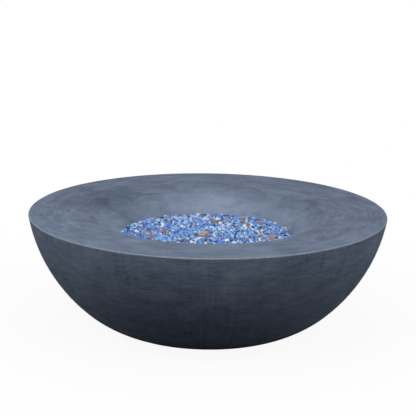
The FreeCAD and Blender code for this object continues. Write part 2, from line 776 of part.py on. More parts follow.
def burner_hose():
    """Flexible hose from the mixer up to the valve's outlet."""
    start = spot(along_gas_line, 0, 0, GAS_LINE_END + END_GAP)
    turn = spot(on_panel, KNOB_X, 0, VALVE_OUTLET - HOSE_STRAIGHT)
    points = [start, start + Vector(0, HOSE_STRAIGHT, 0)]
    points += [on_the_way(start, turn, *place) for place in HOSE_ROUTE]
    points += [turn, spot(on_panel, KNOB_X, 0, VALVE_OUTLET - END_GAP)]
    return tube_along(points, HOSE_RADIUS, HOSE_RADIUS - HOSE_WALL)


def inlet_tube():
    """Tube from the inlet fitting up to the valve."""
    start = spot(on_inlet, 0, 0, INLET_INNER - SPIGOT - TUBE_STRAIGHT)
    turn = spot(on_panel, KNOB_X, -VALVE_BRANCH - TUBE_STRAIGHT, -INLET_PORT_AT)
    points = [spot(on_inlet, 0, 0, INLET_INNER - SPIGOT - END_GAP), start]
    points += [on_the_way(start, turn, *place) for place in TUBE_ROUTE]
    points += [turn, spot(on_panel, KNOB_X, -VALVE_BRANCH - END_GAP, -INLET_PORT_AT)]
    return tube_along(points, INLET_TUBE_RADIUS, INLET_TUBE_RADIUS - TUBE_WALL)


def line_nut(radius):
    """Hex nut that draws a tube onto a spigot, along +Z from the spigot's root."""
    flats = 2 * (radius + LINE_NUT_WALL)
    return prism(6, flats, 2, LINE_NUT).cut(rod(radius + THREAD_GAP, 0, LINE_NUT + 1))


def line_nuts():
    """The four nuts of the gas line."""
    hose, tube = line_nut(HOSE_RADIUS), line_nut(INLET_TUBE_RADIUS)
    below = sideways(tube, -90)
    return [
        along_gas_line(moved(hose, 0, 0, GAS_LINE_END - SPIGOT)),
        on_panel(moved(upside_down(hose), 0, 0, VALVE_BACK), KNOB_X),
        on_panel(moved(below, 0, -VALVE_RADIUS, -INLET_PORT_AT), KNOB_X),
        on_inlet(moved(upside_down(tube), 0, 0, INLET_INNER))]


def inlet_fitting():
    """Bulkhead fitting: a flared male end outside for the supply hose, and a spigot inside."""
    flange_top = INLET_FLANGE - INLET_FACE_DEPTH
    flare_end = flange_top + INLET_FLARE_LENGTH
    nose = Part.makeCone(INLET_FLARE, INLET_FLARE - INLET_NOSE, INLET_NOSE, Vector(0, 0, flare_end))
    body = prism(6, INLET_FLATS, -INLET_FACE_DEPTH, flange_top).fuse([
        rod(INLET_THREAD, INLET_INNER, -INLET_FACE_DEPTH), rod(INLET_FLARE, flange_top, flare_end), nose,
        rod(INLET_TUBE_RADIUS, INLET_INNER - SPIGOT, INLET_INNER)])
    return on_inlet(body.cut([rod(INLET_BORE, INLET_INNER, flare_end + INLET_NOSE + 1),
                              rod(INLET_BORE * 0.75, INLET_INNER - SPIGOT - 1, INLET_INNER + 1)]))


def inlet_nut():
    nut = prism(6, 1.04 * INLET_FLATS, -INLET_BOSS_DEPTH - INLET_NUT, -INLET_BOSS_DEPTH)
    return on_inlet(nut.cut(rod(INLET_THREAD + THREAD_GAP, -3 * INLET_BOSS_DEPTH, 0)))


# Controls

def control_panel():
    """Stainless plate that carries the valve and the igniter."""
    sheet = plate(PANEL_WIDTH, PANEL_HEIGHT, PANEL_CORNER, 0, PANEL)
    holes = [rod(SCREW_RADIUS + SCREW_GAP, -1, PANEL + 1, x, y) for x, y in panel_screw_spots()]
    holes += [rod(SCREW_RADIUS + SCREW_GAP, -1, PANEL + 1, KNOB_X, y) for y in valve_screw_spots()]
    holes.append(rod(STEM_RADIUS + 1.0, -1, PANEL + 1, KNOB_X))
    holes.append(rod(HOUSING_RADIUS + HOLE_GAP, -1, PANEL + 1, IGNITER_X))
    return on_panel(sheet.cut(holes))


def panel_screws():
    return [on_panel(moved(screw(), x, y, PANEL)) for x, y in panel_screw_spots()]


def panel_inserts():
    return [on_panel(moved(insert(), x, y)) for x, y in panel_screw_spots()]


def valve_screw_spots():
    return (-VALVE_SCREW_SPACING / 2, VALVE_SCREW_SPACING / 2)


def valve_screws():
    """Low-headed screws through the panel into the valve's bonnet, flush with the dial."""
    low_head = rod(SCREW_HEAD, 0, DIAL).cut(prism(6, SCREW_SOCKET, DIAL / 3, DIAL + 1))
    one = low_head.fuse(rod(SCREW_RADIUS, -BONNET_PLATE - PANEL + END_GAP, 0))
    return [on_panel(moved(one, KNOB_X, y, PANEL)) for y in valve_screw_spots()]


def valve_bonnet():
    """Front of the valve: it bolts to the panel and holds the stem's spring."""
    front = slot(BONNET_SPAN, BONNET_WIDTH, -BONNET_PLATE, 0)
    front.rotate(Vector(0, 0, 0), UP, 90)
    body = front.fuse(rod(BONNET_RADIUS, -BONNET_DEPTH, -BONNET_PLATE / 2))
    cuts = [rod(BONNET_BORE, -BONNET_DEPTH - 1, -BONNET_FACE)]
    cuts.append(rod(STEM_RADIUS + HOLE_GAP, -BONNET_FACE - 1, 1))
    cuts += [rod(SCREW_RADIUS + THREAD_GAP, -BONNET_PLATE - 1, 1, 0, y) for y in valve_screw_spots()]
    return on_panel(body.cut(cuts), KNOB_X)


def plug_cone(gap):
    """The tapered plug, or with a gap the seat that it turns in."""
    back = -PLUG_START - PLUG_LENGTH
    return Part.makeCone(PLUG_BACK + gap, PLUG_FRONT + gap, PLUG_LENGTH, Vector(0, 0, back))


def sideways(shape, angle):
    """Lays a shape made along +Z down into the plane of X and Y, at an angle from +X."""
    copy = shape.copy()
    copy.rotate(Vector(0, 0, 0), Vector(0, 1, 0), 90)
    return turned_copy(copy, angle)


def branch(radius, start, end, angle):
    """A rod square to the stem at the height of the valve's ports, between two distances from it."""
    return moved(sideways(rod(radius, start, end), angle), 0, 0, -INLET_PORT_AT)


def valve_body():
    """Cast body with a tapered seat, an inlet below, an outlet behind and the sensor's port at one side."""
    body = rod(VALVE_RADIUS, VALVE_BACK, -BONNET_DEPTH)
    body = body.fuse([
        rod(HOSE_RADIUS, VALVE_OUTLET, VALVE_BACK), branch(INLET_TUBE_RADIUS, 0, VALVE_BRANCH, -90),
        branch(SENSOR_PORT, 0, VALVE_BRANCH, 180)])
    mouth = rod(PLUG_FRONT + 2 * PLUG_GAP, -PLUG_START, -BONNET_DEPTH + 1)
    cuts = [
        plug_cone(PLUG_GAP), mouth, rod(GAS_PORT, VALVE_OUTLET - 1, -PLUG_START - PLUG_LENGTH + 1),
        branch(GAS_PORT, 0, VALVE_BRANCH + 1, -90),
        branch(SENSOR_LEAD_RADIUS + THREAD_GAP, VALVE_RADIUS, VALVE_BRANCH + 1, 180)]
    return on_panel(body.cut(cuts), KNOB_X)


def valve_plug():
    """Tapered plug that turns with the stem. Shut, its side port points away from the inlet."""
    back = -PLUG_START - PLUG_LENGTH
    groove = Part.makeBox(2 * PLUG_FRONT + 2, TONGUE + 2 * TONGUE_GAP, TONGUE_DEPTH + PUSH_TRAVEL + 1,
                          Vector(-PLUG_FRONT - 1, -TONGUE / 2 - TONGUE_GAP,
                                 -PLUG_START - TONGUE_DEPTH - PUSH_TRAVEL))
    ways = [rod(GAS_PORT, back - 1, -INLET_PORT_AT), branch(GAS_PORT, 0, PLUG_FRONT + 1, 180)]
    return on_panel(plug_cone(0).cut([groove] + ways), KNOB_X)


def flat_side(low, high):
    """What is cut from one side of a round stem to leave its flat."""
    return Part.makeBox(2 * STEM_RADIUS, STEM_RADIUS, high - low, Vector(-STEM_RADIUS, STEM_FLAT, low))


STEM_TONGUE = -PLUG_START - TONGUE_DEPTH + 2 * TONGUE_GAP
STEM_SHOULDER = -BONNET_FACE - 0.5


def valve_stem():
    """Stem with a flat for the knob, a collar for the spring and a tongue that drives the plug."""
    root = -PLUG_START + PUSH_TRAVEL + 1
    body = rod(STEM_RADIUS, root, STEM_FRONT).cut(flat_side(KNOB_BACK + 3, STEM_FRONT + 1))
    collar = rod(STEM_COLLAR, STEM_SHOULDER - COLLAR_THICKNESS, STEM_SHOULDER)
    tongue = Part.makeBox(TONGUE_WIDTH, TONGUE, root + 1 - STEM_TONGUE,
                          Vector(-TONGUE_WIDTH / 2, -TONGUE / 2, STEM_TONGUE))
    tongue = tongue.common(rod(TONGUE_WIDTH / 2, STEM_TONGUE, root + 1))
    return on_panel(body.fuse([collar, tongue]), KNOB_X)


def stem_spring():
    low = -PLUG_START + END_GAP
    high = STEM_SHOULDER - COLLAR_THICKNESS - END_GAP
    return on_panel(coil(STEM_SPRING_RADIUS, STEM_SPRING_WIRE, STEM_SPRING_TURNS, low, high), KNOB_X)


def control_knob():
    """Fluted knob with a skirt, a pointer line and a bore that fits the stem's flat."""
    back, front = KNOB_BACK, KNOB_BACK + KNOB_LENGTH
    skirt, neck = 3.0, 6.0
    body = Section(0, back).line(KNOB_RADIUS, back).line(KNOB_RADIUS, back + skirt)
    body.arc((KNOB_GRIP + 1.2, back + skirt + 1.4), (KNOB_GRIP, back + neck))
    body.line(KNOB_GRIP - 1.0, front - 2).arc((KNOB_GRIP - 1.6, front - 0.6), (KNOB_GRIP - 3, front))
    knob = body.line(0, front).turned()
    flute = rod(FLUTE_RADIUS, back + neck + 1, front + 1, KNOB_GRIP + FLUTE_RADIUS * 0.55)
    pointer = Part.makeBox(1.6, KNOB_GRIP, 2, Vector(-0.8, 4, front - 0.8))
    bore = rod(STEM_RADIUS + RUNNING_GAP, back - 1, STEM_FRONT + END_GAP)
    bore = bore.cut(moved(flat_side(KNOB_BACK + 3, STEM_FRONT + 2), 0, RUNNING_GAP))
    hollow = pipe(KNOB_RADIUS - 4, STEM_RADIUS + 4, back - 1, back + skirt - 1)
    return on_panel(knob.cut(around(flute, KNOB_FLUTES, 15) + [pointer, bore, hollow]), KNOB_X)


def knob_dial():
    """Round plate behind the knob, with plain marks round its upper part."""
    ring = rod(DIAL_RADIUS, PANEL, PANEL + DIAL)
    mark = Part.makeBox(1.0, 3.6, 1, Vector(-0.5, DIAL_RADIUS - 4.6, PANEL + DIAL - 0.5))
    marks = [turned_copy(mark, -30.0 * i + 120) for i in range(DIAL_MARKS)]
    heads = [rod(SCREW_HEAD, 0, PANEL + DIAL + 1, 0, y) for y in valve_screw_spots()]
    return on_panel(ring.cut(marks + heads + [rod(STEM_RADIUS + 1.0, 0, PANEL + DIAL + 1)]), KNOB_X)


# Igniter

NECK_START = PANEL + FLANGE_THICKNESS
NECK_END = NECK_START + NECK_LENGTH
HOUSING_BACK = -HOUSING_LENGTH
BATTERY_START = HOUSING_BACK + HOUSING_FLOOR + 6.0
BUTTON_BASE = NECK_END - 1.8
CAP_FACE = NECK_END + END_GAP


def igniter_housing():
    """Tube for the battery, with a flange on the panel and a threaded neck for the cap."""
    body = rod(HOUSING_RADIUS, HOUSING_BACK, PANEL).fuse([
        rod(HOUSING_FLANGE, PANEL, NECK_START), rod(NECK_RADIUS, NECK_START, NECK_END)])
    tab = Part.makeBox(TERMINAL, TERMINAL_SHEET, TERMINAL + 1,
                       Vector(-TERMINAL / 2, -TERMINAL_SHEET / 2, HOUSING_BACK - TERMINAL))
    bore = rod(BATTERY_BORE, HOUSING_BACK + HOUSING_FLOOR, NECK_END + 1)
    return on_panel(body.cut(bore).fuse(tab), IGNITER_X)


def igniter_nut():
    nut = prism(6, IGNITER_NUT_FLATS, -IGNITER_NUT, 0)
    return on_panel(nut.cut(rod(HOUSING_RADIUS + THREAD_GAP, -2 * IGNITER_NUT, 1)), IGNITER_X)


def igniter_battery():
    end = BATTERY_START + BATTERY_LENGTH
    return on_panel(rod(BATTERY_RADIUS, BATTERY_START, end).fuse(rod(BATTERY_NUB, end, end + 1.2)), IGNITER_X)


def contact_spring():
    floor = HOUSING_BACK + HOUSING_FLOOR
    return on_panel(coil(BATTERY_NUB + 1, CONTACT_WIRE, 3, floor, BATTERY_START), IGNITER_X)


def igniter_cap():
    """Ribbed screw cap that closes the battery in and guides the button."""
    front = CAP_FACE + CAP_FRONT
    body = rod(CAP_RADIUS, NECK_START + END_GAP, front)
    body = body.makeFillet(1.5, rim_edges(body, CAP_RADIUS, front))
    rib = rod(0.9, NECK_START + END_GAP, front - 2, CAP_RADIUS + 0.3)
    cuts = around(rib, CAP_RIBS) + [
        rod(NECK_RADIUS + HOLE_GAP, NECK_START - 1, CAP_FACE), rod(BUTTON_RADIUS + BUTTON_GAP, 0, front + 1)]
    return on_panel(body.cut(cuts), IGNITER_X)


def igniter_button():
    """Push button with a flange that the cap holds in."""
    top = CAP_FACE + CAP_FRONT + PUSH_TRAVEL + 1
    head = rod(BUTTON_RADIUS, BUTTON_BASE, top)
    head = head.makeFillet(1.2, rim_edges(head, BUTTON_RADIUS, top))
    return on_panel(head.fuse(rod(BUTTON_FLANGE, BUTTON_BASE, BUTTON_BASE + 1.5)), IGNITER_X)


def button_spring():
    low = BATTERY_START + BATTERY_LENGTH + END_GAP
    return on_panel(coil(BATTERY_NUB + 2.2, CONTACT_WIRE, 5, low, BUTTON_BASE - END_GAP), IGNITER_X)


# Spark electrode, flame sensor and their hood

def probe_spots():
    """Place and radius of the electrode, then of the flame sensor."""
    x = HOOD_X + PROBE_OFFSET
    return [(x, HOOD_Y - PROBE_SPACING / 2, ELECTRODE_RADIUS), (x, HOOD_Y + PROBE_SPACING / 2, SENSOR_RADIUS)]


def hood_screw_spots():
    reach = HOOD_WIDTH / 2 + HOOD_TAB / 2
    return (HOOD_X - reach, HOOD_X + reach)


def hood_block(grow, low, high):
    width, length = HOOD_WIDTH + 2 * grow, HOOD_LENGTH + 2 * grow
    return moved(plate(width, length, 4 + grow, low, high), HOOD_X, HOOD_Y)


def igniter_hood():
    """Perforated stainless hood over the probes, on two tabs screwed to the pan's floor."""
    top = HOOD_TOP
    hood = hood_block(0, PAN_FLOOR, top).cut(hood_block(-HOOD_SHEET, PAN_FLOOR - 1, top - HOOD_SHEET))
    tabs = plate(HOOD_WIDTH + 2 * HOOD_TAB, HOOD_LENGTH * 0.5, 3, PAN_FLOOR, PAN_FLOOR + HOOD_SHEET)
    tabs = moved(tabs, HOOD_X, HOOD_Y).cut(hood_block(-HOOD_SHEET, PAN_FLOOR - 1, top))
    screw_hole = rod(SCREW_RADIUS + SCREW_GAP, PAN_FLOOR - 1, PAN_FLOOR + HOOD_SHEET + 1)
    cuts = [moved(screw_hole, x, HOOD_Y) for x in hood_screw_spots()]
    hole = sideways(rod(HOOD_HOLE, -HOOD_LENGTH, HOOD_LENGTH), 90)
    first_x = HOOD_X - HOOD_PITCH_X * (HOOD_COLUMNS - 1) / 2
    for row in range(HOOD_ROWS):
        z = PAN_FLOOR + RING_HEIGHT + HOOD_PITCH_Z * row
        cuts += [moved(hole, first_x + HOOD_PITCH_X * i, HOOD_Y, z) for i in range(HOOD_COLUMNS)]
    return hood.fuse(tabs).cut(cuts)


def hood_screws():
    return [moved(screw(6), x, HOOD_Y, PAN_FLOOR + HOOD_SHEET) for x in hood_screw_spots()]


def probe(x, y, radius):
    """A rod through the pan's floor with a collar that rests on it."""
    stand = rod(radius, PAN_UNDER - PROBE_DROP, PAN_FLOOR + PROBE_RISE, x, y)
    return stand.fuse(rod(radius + PROBE_COLLAR, PAN_FLOOR, PAN_FLOOR + 2 * PROBE_COLLAR, x, y))


def spark_electrode():
    """Ceramic rod with a wire tip that bends towards the flame sensor."""
    x, y, radius = probe_spots()[0]
    bend = PAN_FLOOR + PROBE_RISE + TIP_RISE
    tip = rod(TIP_RADIUS, bend - TIP_RISE, bend, x, y)
    level = moved(sideways(rod(TIP_RADIUS, 0, PROBE_SPACING / 2), 90), x, y, bend)
    return probe(x, y, radius).fuse([tip, Part.makeSphere(TIP_RADIUS, Vector(x, y, bend)), level])


def flame_sensor():
    """Metal rod with a round end that stands in the flame."""
    x, y, radius = probe_spots()[1]
    return probe(x, y, radius).fuse(Part.makeSphere(radius, Vector(x, y, PAN_FLOOR + PROBE_RISE)))


LEAD_STRAIGHT = 18.0
SPARK_STRAIGHT = 44.0
SPARK_ROUTE = (
    (0.035, 2, -39), (0.14, 8, -57), (0.33, 10, -71), (0.52, 10, -75), (0.70, 9, -61), (0.85, 6, -32))
SENSOR_ROUTE = (
    (0.045, -1, -36), (0.21, -2, -49), (0.39, -3, -50), (0.57, -5, -38), (0.72, -7, -16), (0.865, -9, 3))
SENSOR_HOOK = ((27.0, 40.0), (21.0, 11.0), (9.0, 0.0))


def lead_start(x, y):
    return Vector(x, y, PAN_UNDER - PROBE_DROP - END_GAP)


def spark_lead():
    """Lead from the electrode to the igniter's terminal."""
    x, y, _ = probe_spots()[0]
    terminal = HOUSING_BACK - TERMINAL
    start, turn = lead_start(x, y), spot(on_panel, IGNITER_X, 0, terminal - SPARK_STRAIGHT)
    points = [start, start - Vector(0, 0, LEAD_STRAIGHT)]
    points += [on_the_way(start, turn, *place) for place in SPARK_ROUTE]
    points += [turn, spot(on_panel, IGNITER_X, 0, terminal - END_GAP)]
    return tube_along(points, LEAD_RADIUS)


def sensor_lead():
    """Thin lead from the flame sensor to the valve's side port."""
    x, y, _ = probe_spots()[1]
    port = KNOB_X - VALVE_BRANCH
    start = lead_start(x, y)
    hook = [spot(on_panel, port - aside, 0, -INLET_PORT_AT - deeper) for aside, deeper in SENSOR_HOOK]
    points = [start, start - Vector(0, 0, LEAD_STRAIGHT)]
    points += [on_the_way(start, hook[0], *place) for place in SENSOR_ROUTE]
    points += hook + [spot(on_panel, port + SPIGOT / 2, 0, -INLET_PORT_AT)]
    return tube_along(points, SENSOR_LEAD_RADIUS)


# Fire media

def media_cuts():
    """What stands up through the media: the burner, its nipple and nut, and the hood with its tabs."""
    top = HOOD_TOP + 50
    tab_width = HOOD_WIDTH + 2 * HOOD_TAB + 2 * BURNER_GAP
    tabs = plate(tab_width, HOOD_LENGTH * 0.5 + 2 * BURNER_GAP, 3, PAN_FLOOR - 1,
                 PAN_FLOOR + HOOD_SHEET + SCREW_HEAD_HEIGHT + BURNER_GAP)
    return [
        burner_tubes(BURNER_GAP), hood_block(BURNER_GAP, PAN_FLOOR - 1, top), moved(tabs, HOOD_X, HOOD_Y),
        rod(NIPPLE_RADIUS + BURNER_GAP, PAN_FLOOR - 1, RING_Z),
        prism(6, LOCKNUT_FLATS + 2 * BURNER_GAP, PAN_FLOOR - 1, PAN_FLOOR + LOCKNUT + BURNER_GAP)]


def lava_rock_base():
    """Lower layer of media, from the pan's floor up to the middle of the burner."""
    radius = PAN_RADIUS - PAN_SHEET - MEDIA_GAP
    bend = PAN_BEND
    low, high = PAN_FLOOR + MEDIA_GAP, RING_Z - MEDIA_GAP / 2
    layer = Section(0, low).line(radius - bend, low).line(radius, low + bend).line(radius, high).line(0, high)
    return layer.turned().cut(media_cuts())


def dome_height(radius):
    return GLASS_TOP - DOME_RADIUS + math.sqrt(DOME_RADIUS ** 2 - radius ** 2)


def fire_glass_bed():
    """Upper layer of media: it fills the pan, covers its flange and rises to a low crown."""
    inner = PAN_RADIUS - PAN_SHEET - MEDIA_GAP
    low = RING_Z + MEDIA_GAP / 2
    bend = PAN_BEND - PAN_SHEET + MEDIA_GAP
    flange_up = FLANGE_TOP + MEDIA_GAP
    cover = REBATE_RADIUS - MEDIA_GAP
    half_way = bend * (1 - math.cos(math.pi / 4))
    bed = Section(0, low).line(inner, low).line(inner, flange_up - bend)
    bed.arc((inner + half_way, flange_up - half_way), (inner + bend, flange_up))
    bed.line(cover, flange_up).line(cover, crater_height(REBATE_RADIUS) + MEDIA_GAP)
    bed.line(GLASS_EDGE - MEDIA_GAP, GLASS_EDGE_Z)
    bed.arc((GLASS_EDGE / 2, dome_height(GLASS_EDGE / 2)), (0, GLASS_TOP))
    return bed.turned().cut(media_cuts())


def shard(points_low, points_high):
    """A closed solid between two like polygons."""
    n = len(points_low)
    faces = [Part.Face(Part.makePolygon(p + p[:1])) for p in (points_low, points_high)]
    for i in range(n):
        j = (i + 1) % n
        quad = [points_low[i], points_low[j], points_high[j], points_high[i], points_low[i]]
        faces.append(Part.Face(Part.makePolygon(quad)))
    solid = Part.Solid(Part.Shell(faces))
    if solid.Volume < 0:
        solid.reverse()
    return solid


def chip(size, height, rng):
    """One broken piece of glass: an uneven five-sided block with a smaller, shifted top."""
    turn = rng.uniform(0, 2 * math.pi)
    angles = [turn + 2 * math.pi * (i + rng.uniform(-0.22, 0.22)) / 5 for i in range(5)]
    reach = [size * rng.uniform(0.8, 1.0) for _ in angles]
    taper = rng.uniform(0.35, 0.75)
    lean_x, lean_y = size * rng.uniform(-0.18, 0.18), size * rng.uniform(-0.18, 0.18)
    low = [Vector(r * math.cos(a), r * math.sin(a), 0) for r, a in zip(reach, angles)]
    high = [Vector(p.x * taper + lean_x, p.y * taper + lean_y, height) for p in low]
    return shard(low, high)


def rock(size, rng):
    """One lava rock: wider at its middle than at its foot and top."""
    count = 7
    turn = rng.uniform(0, 2 * math.pi)
    angles = [turn + 2 * math.pi * (i + rng.uniform(-0.25, 0.25)) / count for i in range(count)]
    reach = [size * rng.uniform(0.8, 1.0) for _ in angles]
    height = size * rng.uniform(0.9, 1.15)
    middle = [Vector(r * math.cos(a), r * math.sin(a), height * 0.4) for r, a in zip(reach, angles)]
    low = [Vector(p.x * 0.7, p.y * 0.7, 0) for p in middle]
    high = [Vector(p.x * 0.55 + size * 0.08, p.y * 0.55, height) for p in middle]
    return shard(low, middle).fuse(shard(middle, high)).removeSplitter()


def on_dome(shape, x, y):
    """Lays a shape on the crown of the glass, square to it."""
    radius = math.hypot(x, y)
    tilt = math.degrees(math.asin(radius / DOME_RADIUS))
    copy = shape.copy()
    copy.rotate(Vector(0, 0, 0), Vector(-y, x, 0) if radius > 1e-6 else Vector(1, 0, 0), tilt)
    return moved(copy, x, y, dome_height(radius))


def clear_of(x, y, taken):
    return all(math.hypot(x - a, y - b) > reach for a, b, reach in taken)


def lava_rocks():
    rng = random.Random(7)
    lifted = [(moved(rock(ROCK_SIZE * share, rng), 0, 0, CHIP_LIFT), x, y) for x, y, share in ROCKS]
    return [on_dome(piece, x, y) for piece, x, y in lifted]


def glass_chips():
    """Loose glass on the crown, at even spacing from the middle outwards."""
    rng = random.Random(11)
    room = GLASS_EDGE - 1.2 * CHIP_SIZE
    hood = max(HOOD_WIDTH, HOOD_LENGTH) / 2 + CHIP_SIZE * 1.5
    taken = [(x, y, ROCK_SIZE * share + CHIP_SIZE + 1) for x, y, share in ROCKS] + [(HOOD_X, HOOD_Y, hood)]
    chips = []
    for i in range(CHIPS):
        radius, turn = room * math.sqrt((i + 0.5) / CHIPS), i * math.pi * (3 - math.sqrt(5))
        x, y = radius * math.cos(turn), radius * math.sin(turn)
        piece = chip(CHIP_SIZE * rng.uniform(0.78, 1.0), CHIP_HEIGHT * rng.uniform(0.6, 1.0), rng)
        if clear_of(x, y, taken):
            chips.append(on_dome(moved(piece, 0, 0, CHIP_LIFT), x, y))
    return chips


NODES = (
    bowl_shell, base_plate, base_plate_screws, base_inserts, base_feet, burner_pan, burner_ring,
    burner_nipple, burner_locknuts, gas_elbow, air_mixer, air_shutter, gas_orifice, burner_hose,
    inlet_tube, line_nuts, inlet_fitting, inlet_nut, control_panel, panel_screws, panel_inserts,
    valve_screws, valve_bonnet, valve_body, valve_plug, valve_stem, stem_spring, control_knob,
    knob_dial, igniter_housing, igniter_nut, igniter_battery, contact_spring, igniter_cap,
    igniter_button, button_spring, igniter_hood, hood_screws, spark_electrode, flame_sensor, spark_lead,
    sensor_lead, lava_rock_base, fire_glass_bed, lava_rocks, glass_chips,
)


def main():
    os.makedirs("parts", exist_ok=True)
    for make in NODES:
        made = make()
        shape = Part.makeCompound(made) if isinstance(made, list) else made
        shape.exportStep(os.path.join("parts", make.__name__ + ".step"))
        print(make.__name__, len(shape.Solids), round(shape.Volume / 1000, 2), "cm3", shape.isValid())


if __name__ == "__main__":
    main()
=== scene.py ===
import bmesh
import bpy
import math
import random
from mathutils import Euler, Matrix, Vector, noise


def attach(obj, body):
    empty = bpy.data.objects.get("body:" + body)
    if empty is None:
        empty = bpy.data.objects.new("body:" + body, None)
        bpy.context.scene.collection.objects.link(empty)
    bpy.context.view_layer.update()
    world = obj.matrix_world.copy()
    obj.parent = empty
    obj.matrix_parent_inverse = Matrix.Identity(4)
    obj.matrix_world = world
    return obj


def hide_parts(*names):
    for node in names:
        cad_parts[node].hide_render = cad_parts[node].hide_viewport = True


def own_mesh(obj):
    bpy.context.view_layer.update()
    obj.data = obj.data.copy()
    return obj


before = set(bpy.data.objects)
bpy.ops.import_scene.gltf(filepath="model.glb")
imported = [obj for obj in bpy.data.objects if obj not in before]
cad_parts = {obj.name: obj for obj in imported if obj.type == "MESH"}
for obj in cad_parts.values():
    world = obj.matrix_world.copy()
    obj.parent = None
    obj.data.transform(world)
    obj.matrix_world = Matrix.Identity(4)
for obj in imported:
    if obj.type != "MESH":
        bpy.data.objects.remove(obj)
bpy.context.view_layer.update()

# Camera. It stands in front of the bowl and above its rim, and looks down into the crater. It is rolled
# by the same small angle as the photograph.
CAMERA_PLACE = (0.0, -4.1416, 1.3516)
CAMERA_LENS = 123.45
CAMERA_TILT = 76.4794
CAMERA_ROLL = 0.7794

camera_data = bpy.data.cameras.new("camera")
camera_data.lens = CAMERA_LENS
camera_data.sensor_width = 36.0
camera = bpy.data.objects.new("camera", camera_data)
camera.matrix_world = (
    Matrix.Translation(CAMERA_PLACE)
    @ Matrix.Rotation(math.radians(CAMERA_TILT), 4, "X")
    @ Matrix.Rotation(math.radians(CAMERA_ROLL), 4, "Z")
)
bpy.context.scene.collection.objects.link(camera)
bpy.context.scene.camera = camera
bpy.context.scene.view_settings.view_transform = "Standard"


# Studio floor and backdrop. Both look white to the camera and in reflections and give back little light
# to the object, as in the photograph. The floor keeps a soft shadow, a deeper one where it is reflected.
FLOOR_HALF = 9.0
FLOOR_SHADOW_SHARE = 0.07
REFLECTED_SHARE = 0.85
FLOOR_SHADOW_REACH = (0.5, 1.3)
FLOOR_BOUNCE = (0.025, 0.026, 0.028, 1.0)
AMBIENT = (0.265, 0.265, 0.27, 1.0)


def add(tree, kind, wires=None, **settings):
    """Adds one node to a node tree and gives each named input a value or a wire."""
    made = tree.nodes.new("ShaderNode" + kind)
    for key, value in settings.items():
        setattr(made, key, value)
    for key, value in (wires or {}).items():
        if isinstance(value, bpy.types.NodeSocket):
            tree.links.new(value, made.inputs[key])
        else:
            made.inputs[key].default_value = value
    return made


def reckon(tree, operation, *values, clamp=False):
    wires = dict(enumerate(values))
    return add(tree, "Math", wires, operation=operation, use_clamp=clamp).outputs[0]


def new_material(name):
    made = bpy.data.materials.new(name)
    made.use_nodes = True
    made.node_tree.nodes.clear()
    return made, made.node_tree


def seen_ray(tree):
    """1 for rays that look at the scene: from the camera, in a reflection or through glass."""
    path = add(tree, "LightPath").outputs
    seen = reckon(tree, "MAXIMUM", path["Is Camera Ray"], path["Is Glossy Ray"])
    return reckon(tree, "MAXIMUM", seen, path["Is Transmission Ray"])


floor_paint, tree = new_material("studio_floor")
bright = add(tree, "Emission", {"Color": (1.0, 1.0, 1.0, 1.0), "Strength": 1.0})
pale = add(tree, "BsdfDiffuse", {"Color": (0.95, 0.95, 0.95, 1.0)})
dull = add(tree, "BsdfDiffuse", {"Color": FLOOR_BOUNCE})
out = add(tree, "VectorMath", {0: add(tree, "TexCoord").outputs["Object"]}, operation="LENGTH").outputs[1]
near, far = FLOOR_SHADOW_REACH
reflected = add(tree, "LightPath").outputs["Is Glossy Ray"]
strongest = reckon(tree, "MULTIPLY_ADD", reflected, REFLECTED_SHARE, FLOOR_SHADOW_SHARE)
fading = add(tree, "MapRange", {0: out, 1: near, 2: far, 3: strongest, 4: 0.0})
shown = add(tree, "MixShader", {0: fading.outputs[0], 1: bright.outputs[0], 2: pale.outputs[0]})
floor_mix = add(tree, "MixShader", {0: seen_ray(tree), 1: dull.outputs[0], 2: shown.outputs[0]})
add(tree, "OutputMaterial", {"Surface": floor_mix.outputs[0]})
floor_mesh = bpy.data.meshes.new("studio_floor")
corners = [(-1, -1), (1, -1), (1, 1), (-1, 1)]
floor_mesh.from_pydata([(x * FLOOR_HALF, y * FLOOR_HALF, 0.0) for x, y in corners], [], [(0, 1, 2, 3)])
floor_mesh.materials.append(floor_paint)
studio_floor = bpy.data.objects.new("studio_floor", floor_mesh)
bpy.context.scene.collection.objects.link(studio_floor)

world = bpy.data.worlds.new("studio")
world.use_nodes = True
bpy.context.scene.world = world
tree = world.node_tree
tree.nodes.clear()
ambient = add(tree, "Background", {"Color": AMBIENT, "Strength": 1.0})
white = add(tree, "Background", {"Color": (1.0, 1.0, 1.0, 1.0), "Strength": 1.0})
world_mix = add(tree, "MixShader", {0: seen_ray(tree), 1: ambient.outputs[0], 2: white.outputs[0]})
add(tree, "OutputWorld", {"Surface": world_mix.outputs[0]})


# Studio lights. A large soft box hangs overhead and two smaller ones stand high at the front corners. A
# weak strip at each side, a weak box behind and the walls of the studio fill the shadows.
LIGHTS_AIM = (0.0, 0.0, 0.3)


def soft_box(name, watts, width, height, place):
    lamp = bpy.data.lights.new(name, "AREA")
    lamp.shape = "RECTANGLE"
    lamp.size = width
    lamp.size_y = height
    lamp.energy = watts
    made = bpy.data.objects.new(name, lamp)
    made.location = place
    made.rotation_euler = (Vector(LIGHTS_AIM) - Vector(place)).to_track_quat("-Z", "Y").to_euler()
    bpy.context.scene.collection.objects.link(made)


soft_box("overhead_box", 17.4, 3.0, 3.0, (-0.3, 0.2, 3.4))
soft_box("left_box", 45.0, 1.6, 1.2, (-1.8, -2.2, 2.9))
soft_box("right_box", 38.0, 1.6, 1.2, (1.6, -2.4, 2.9))
soft_box("right_strip", 8.0, 0.7, 2.4, (3.0, -0.3, 1.1))
soft_box("left_strip", 5.5, 0.7, 2.4, (-3.0, -0.4, 1.1))
soft_box("back_box", 10.0, 1.6, 1.2, (0.4, 3.0, 2.2))


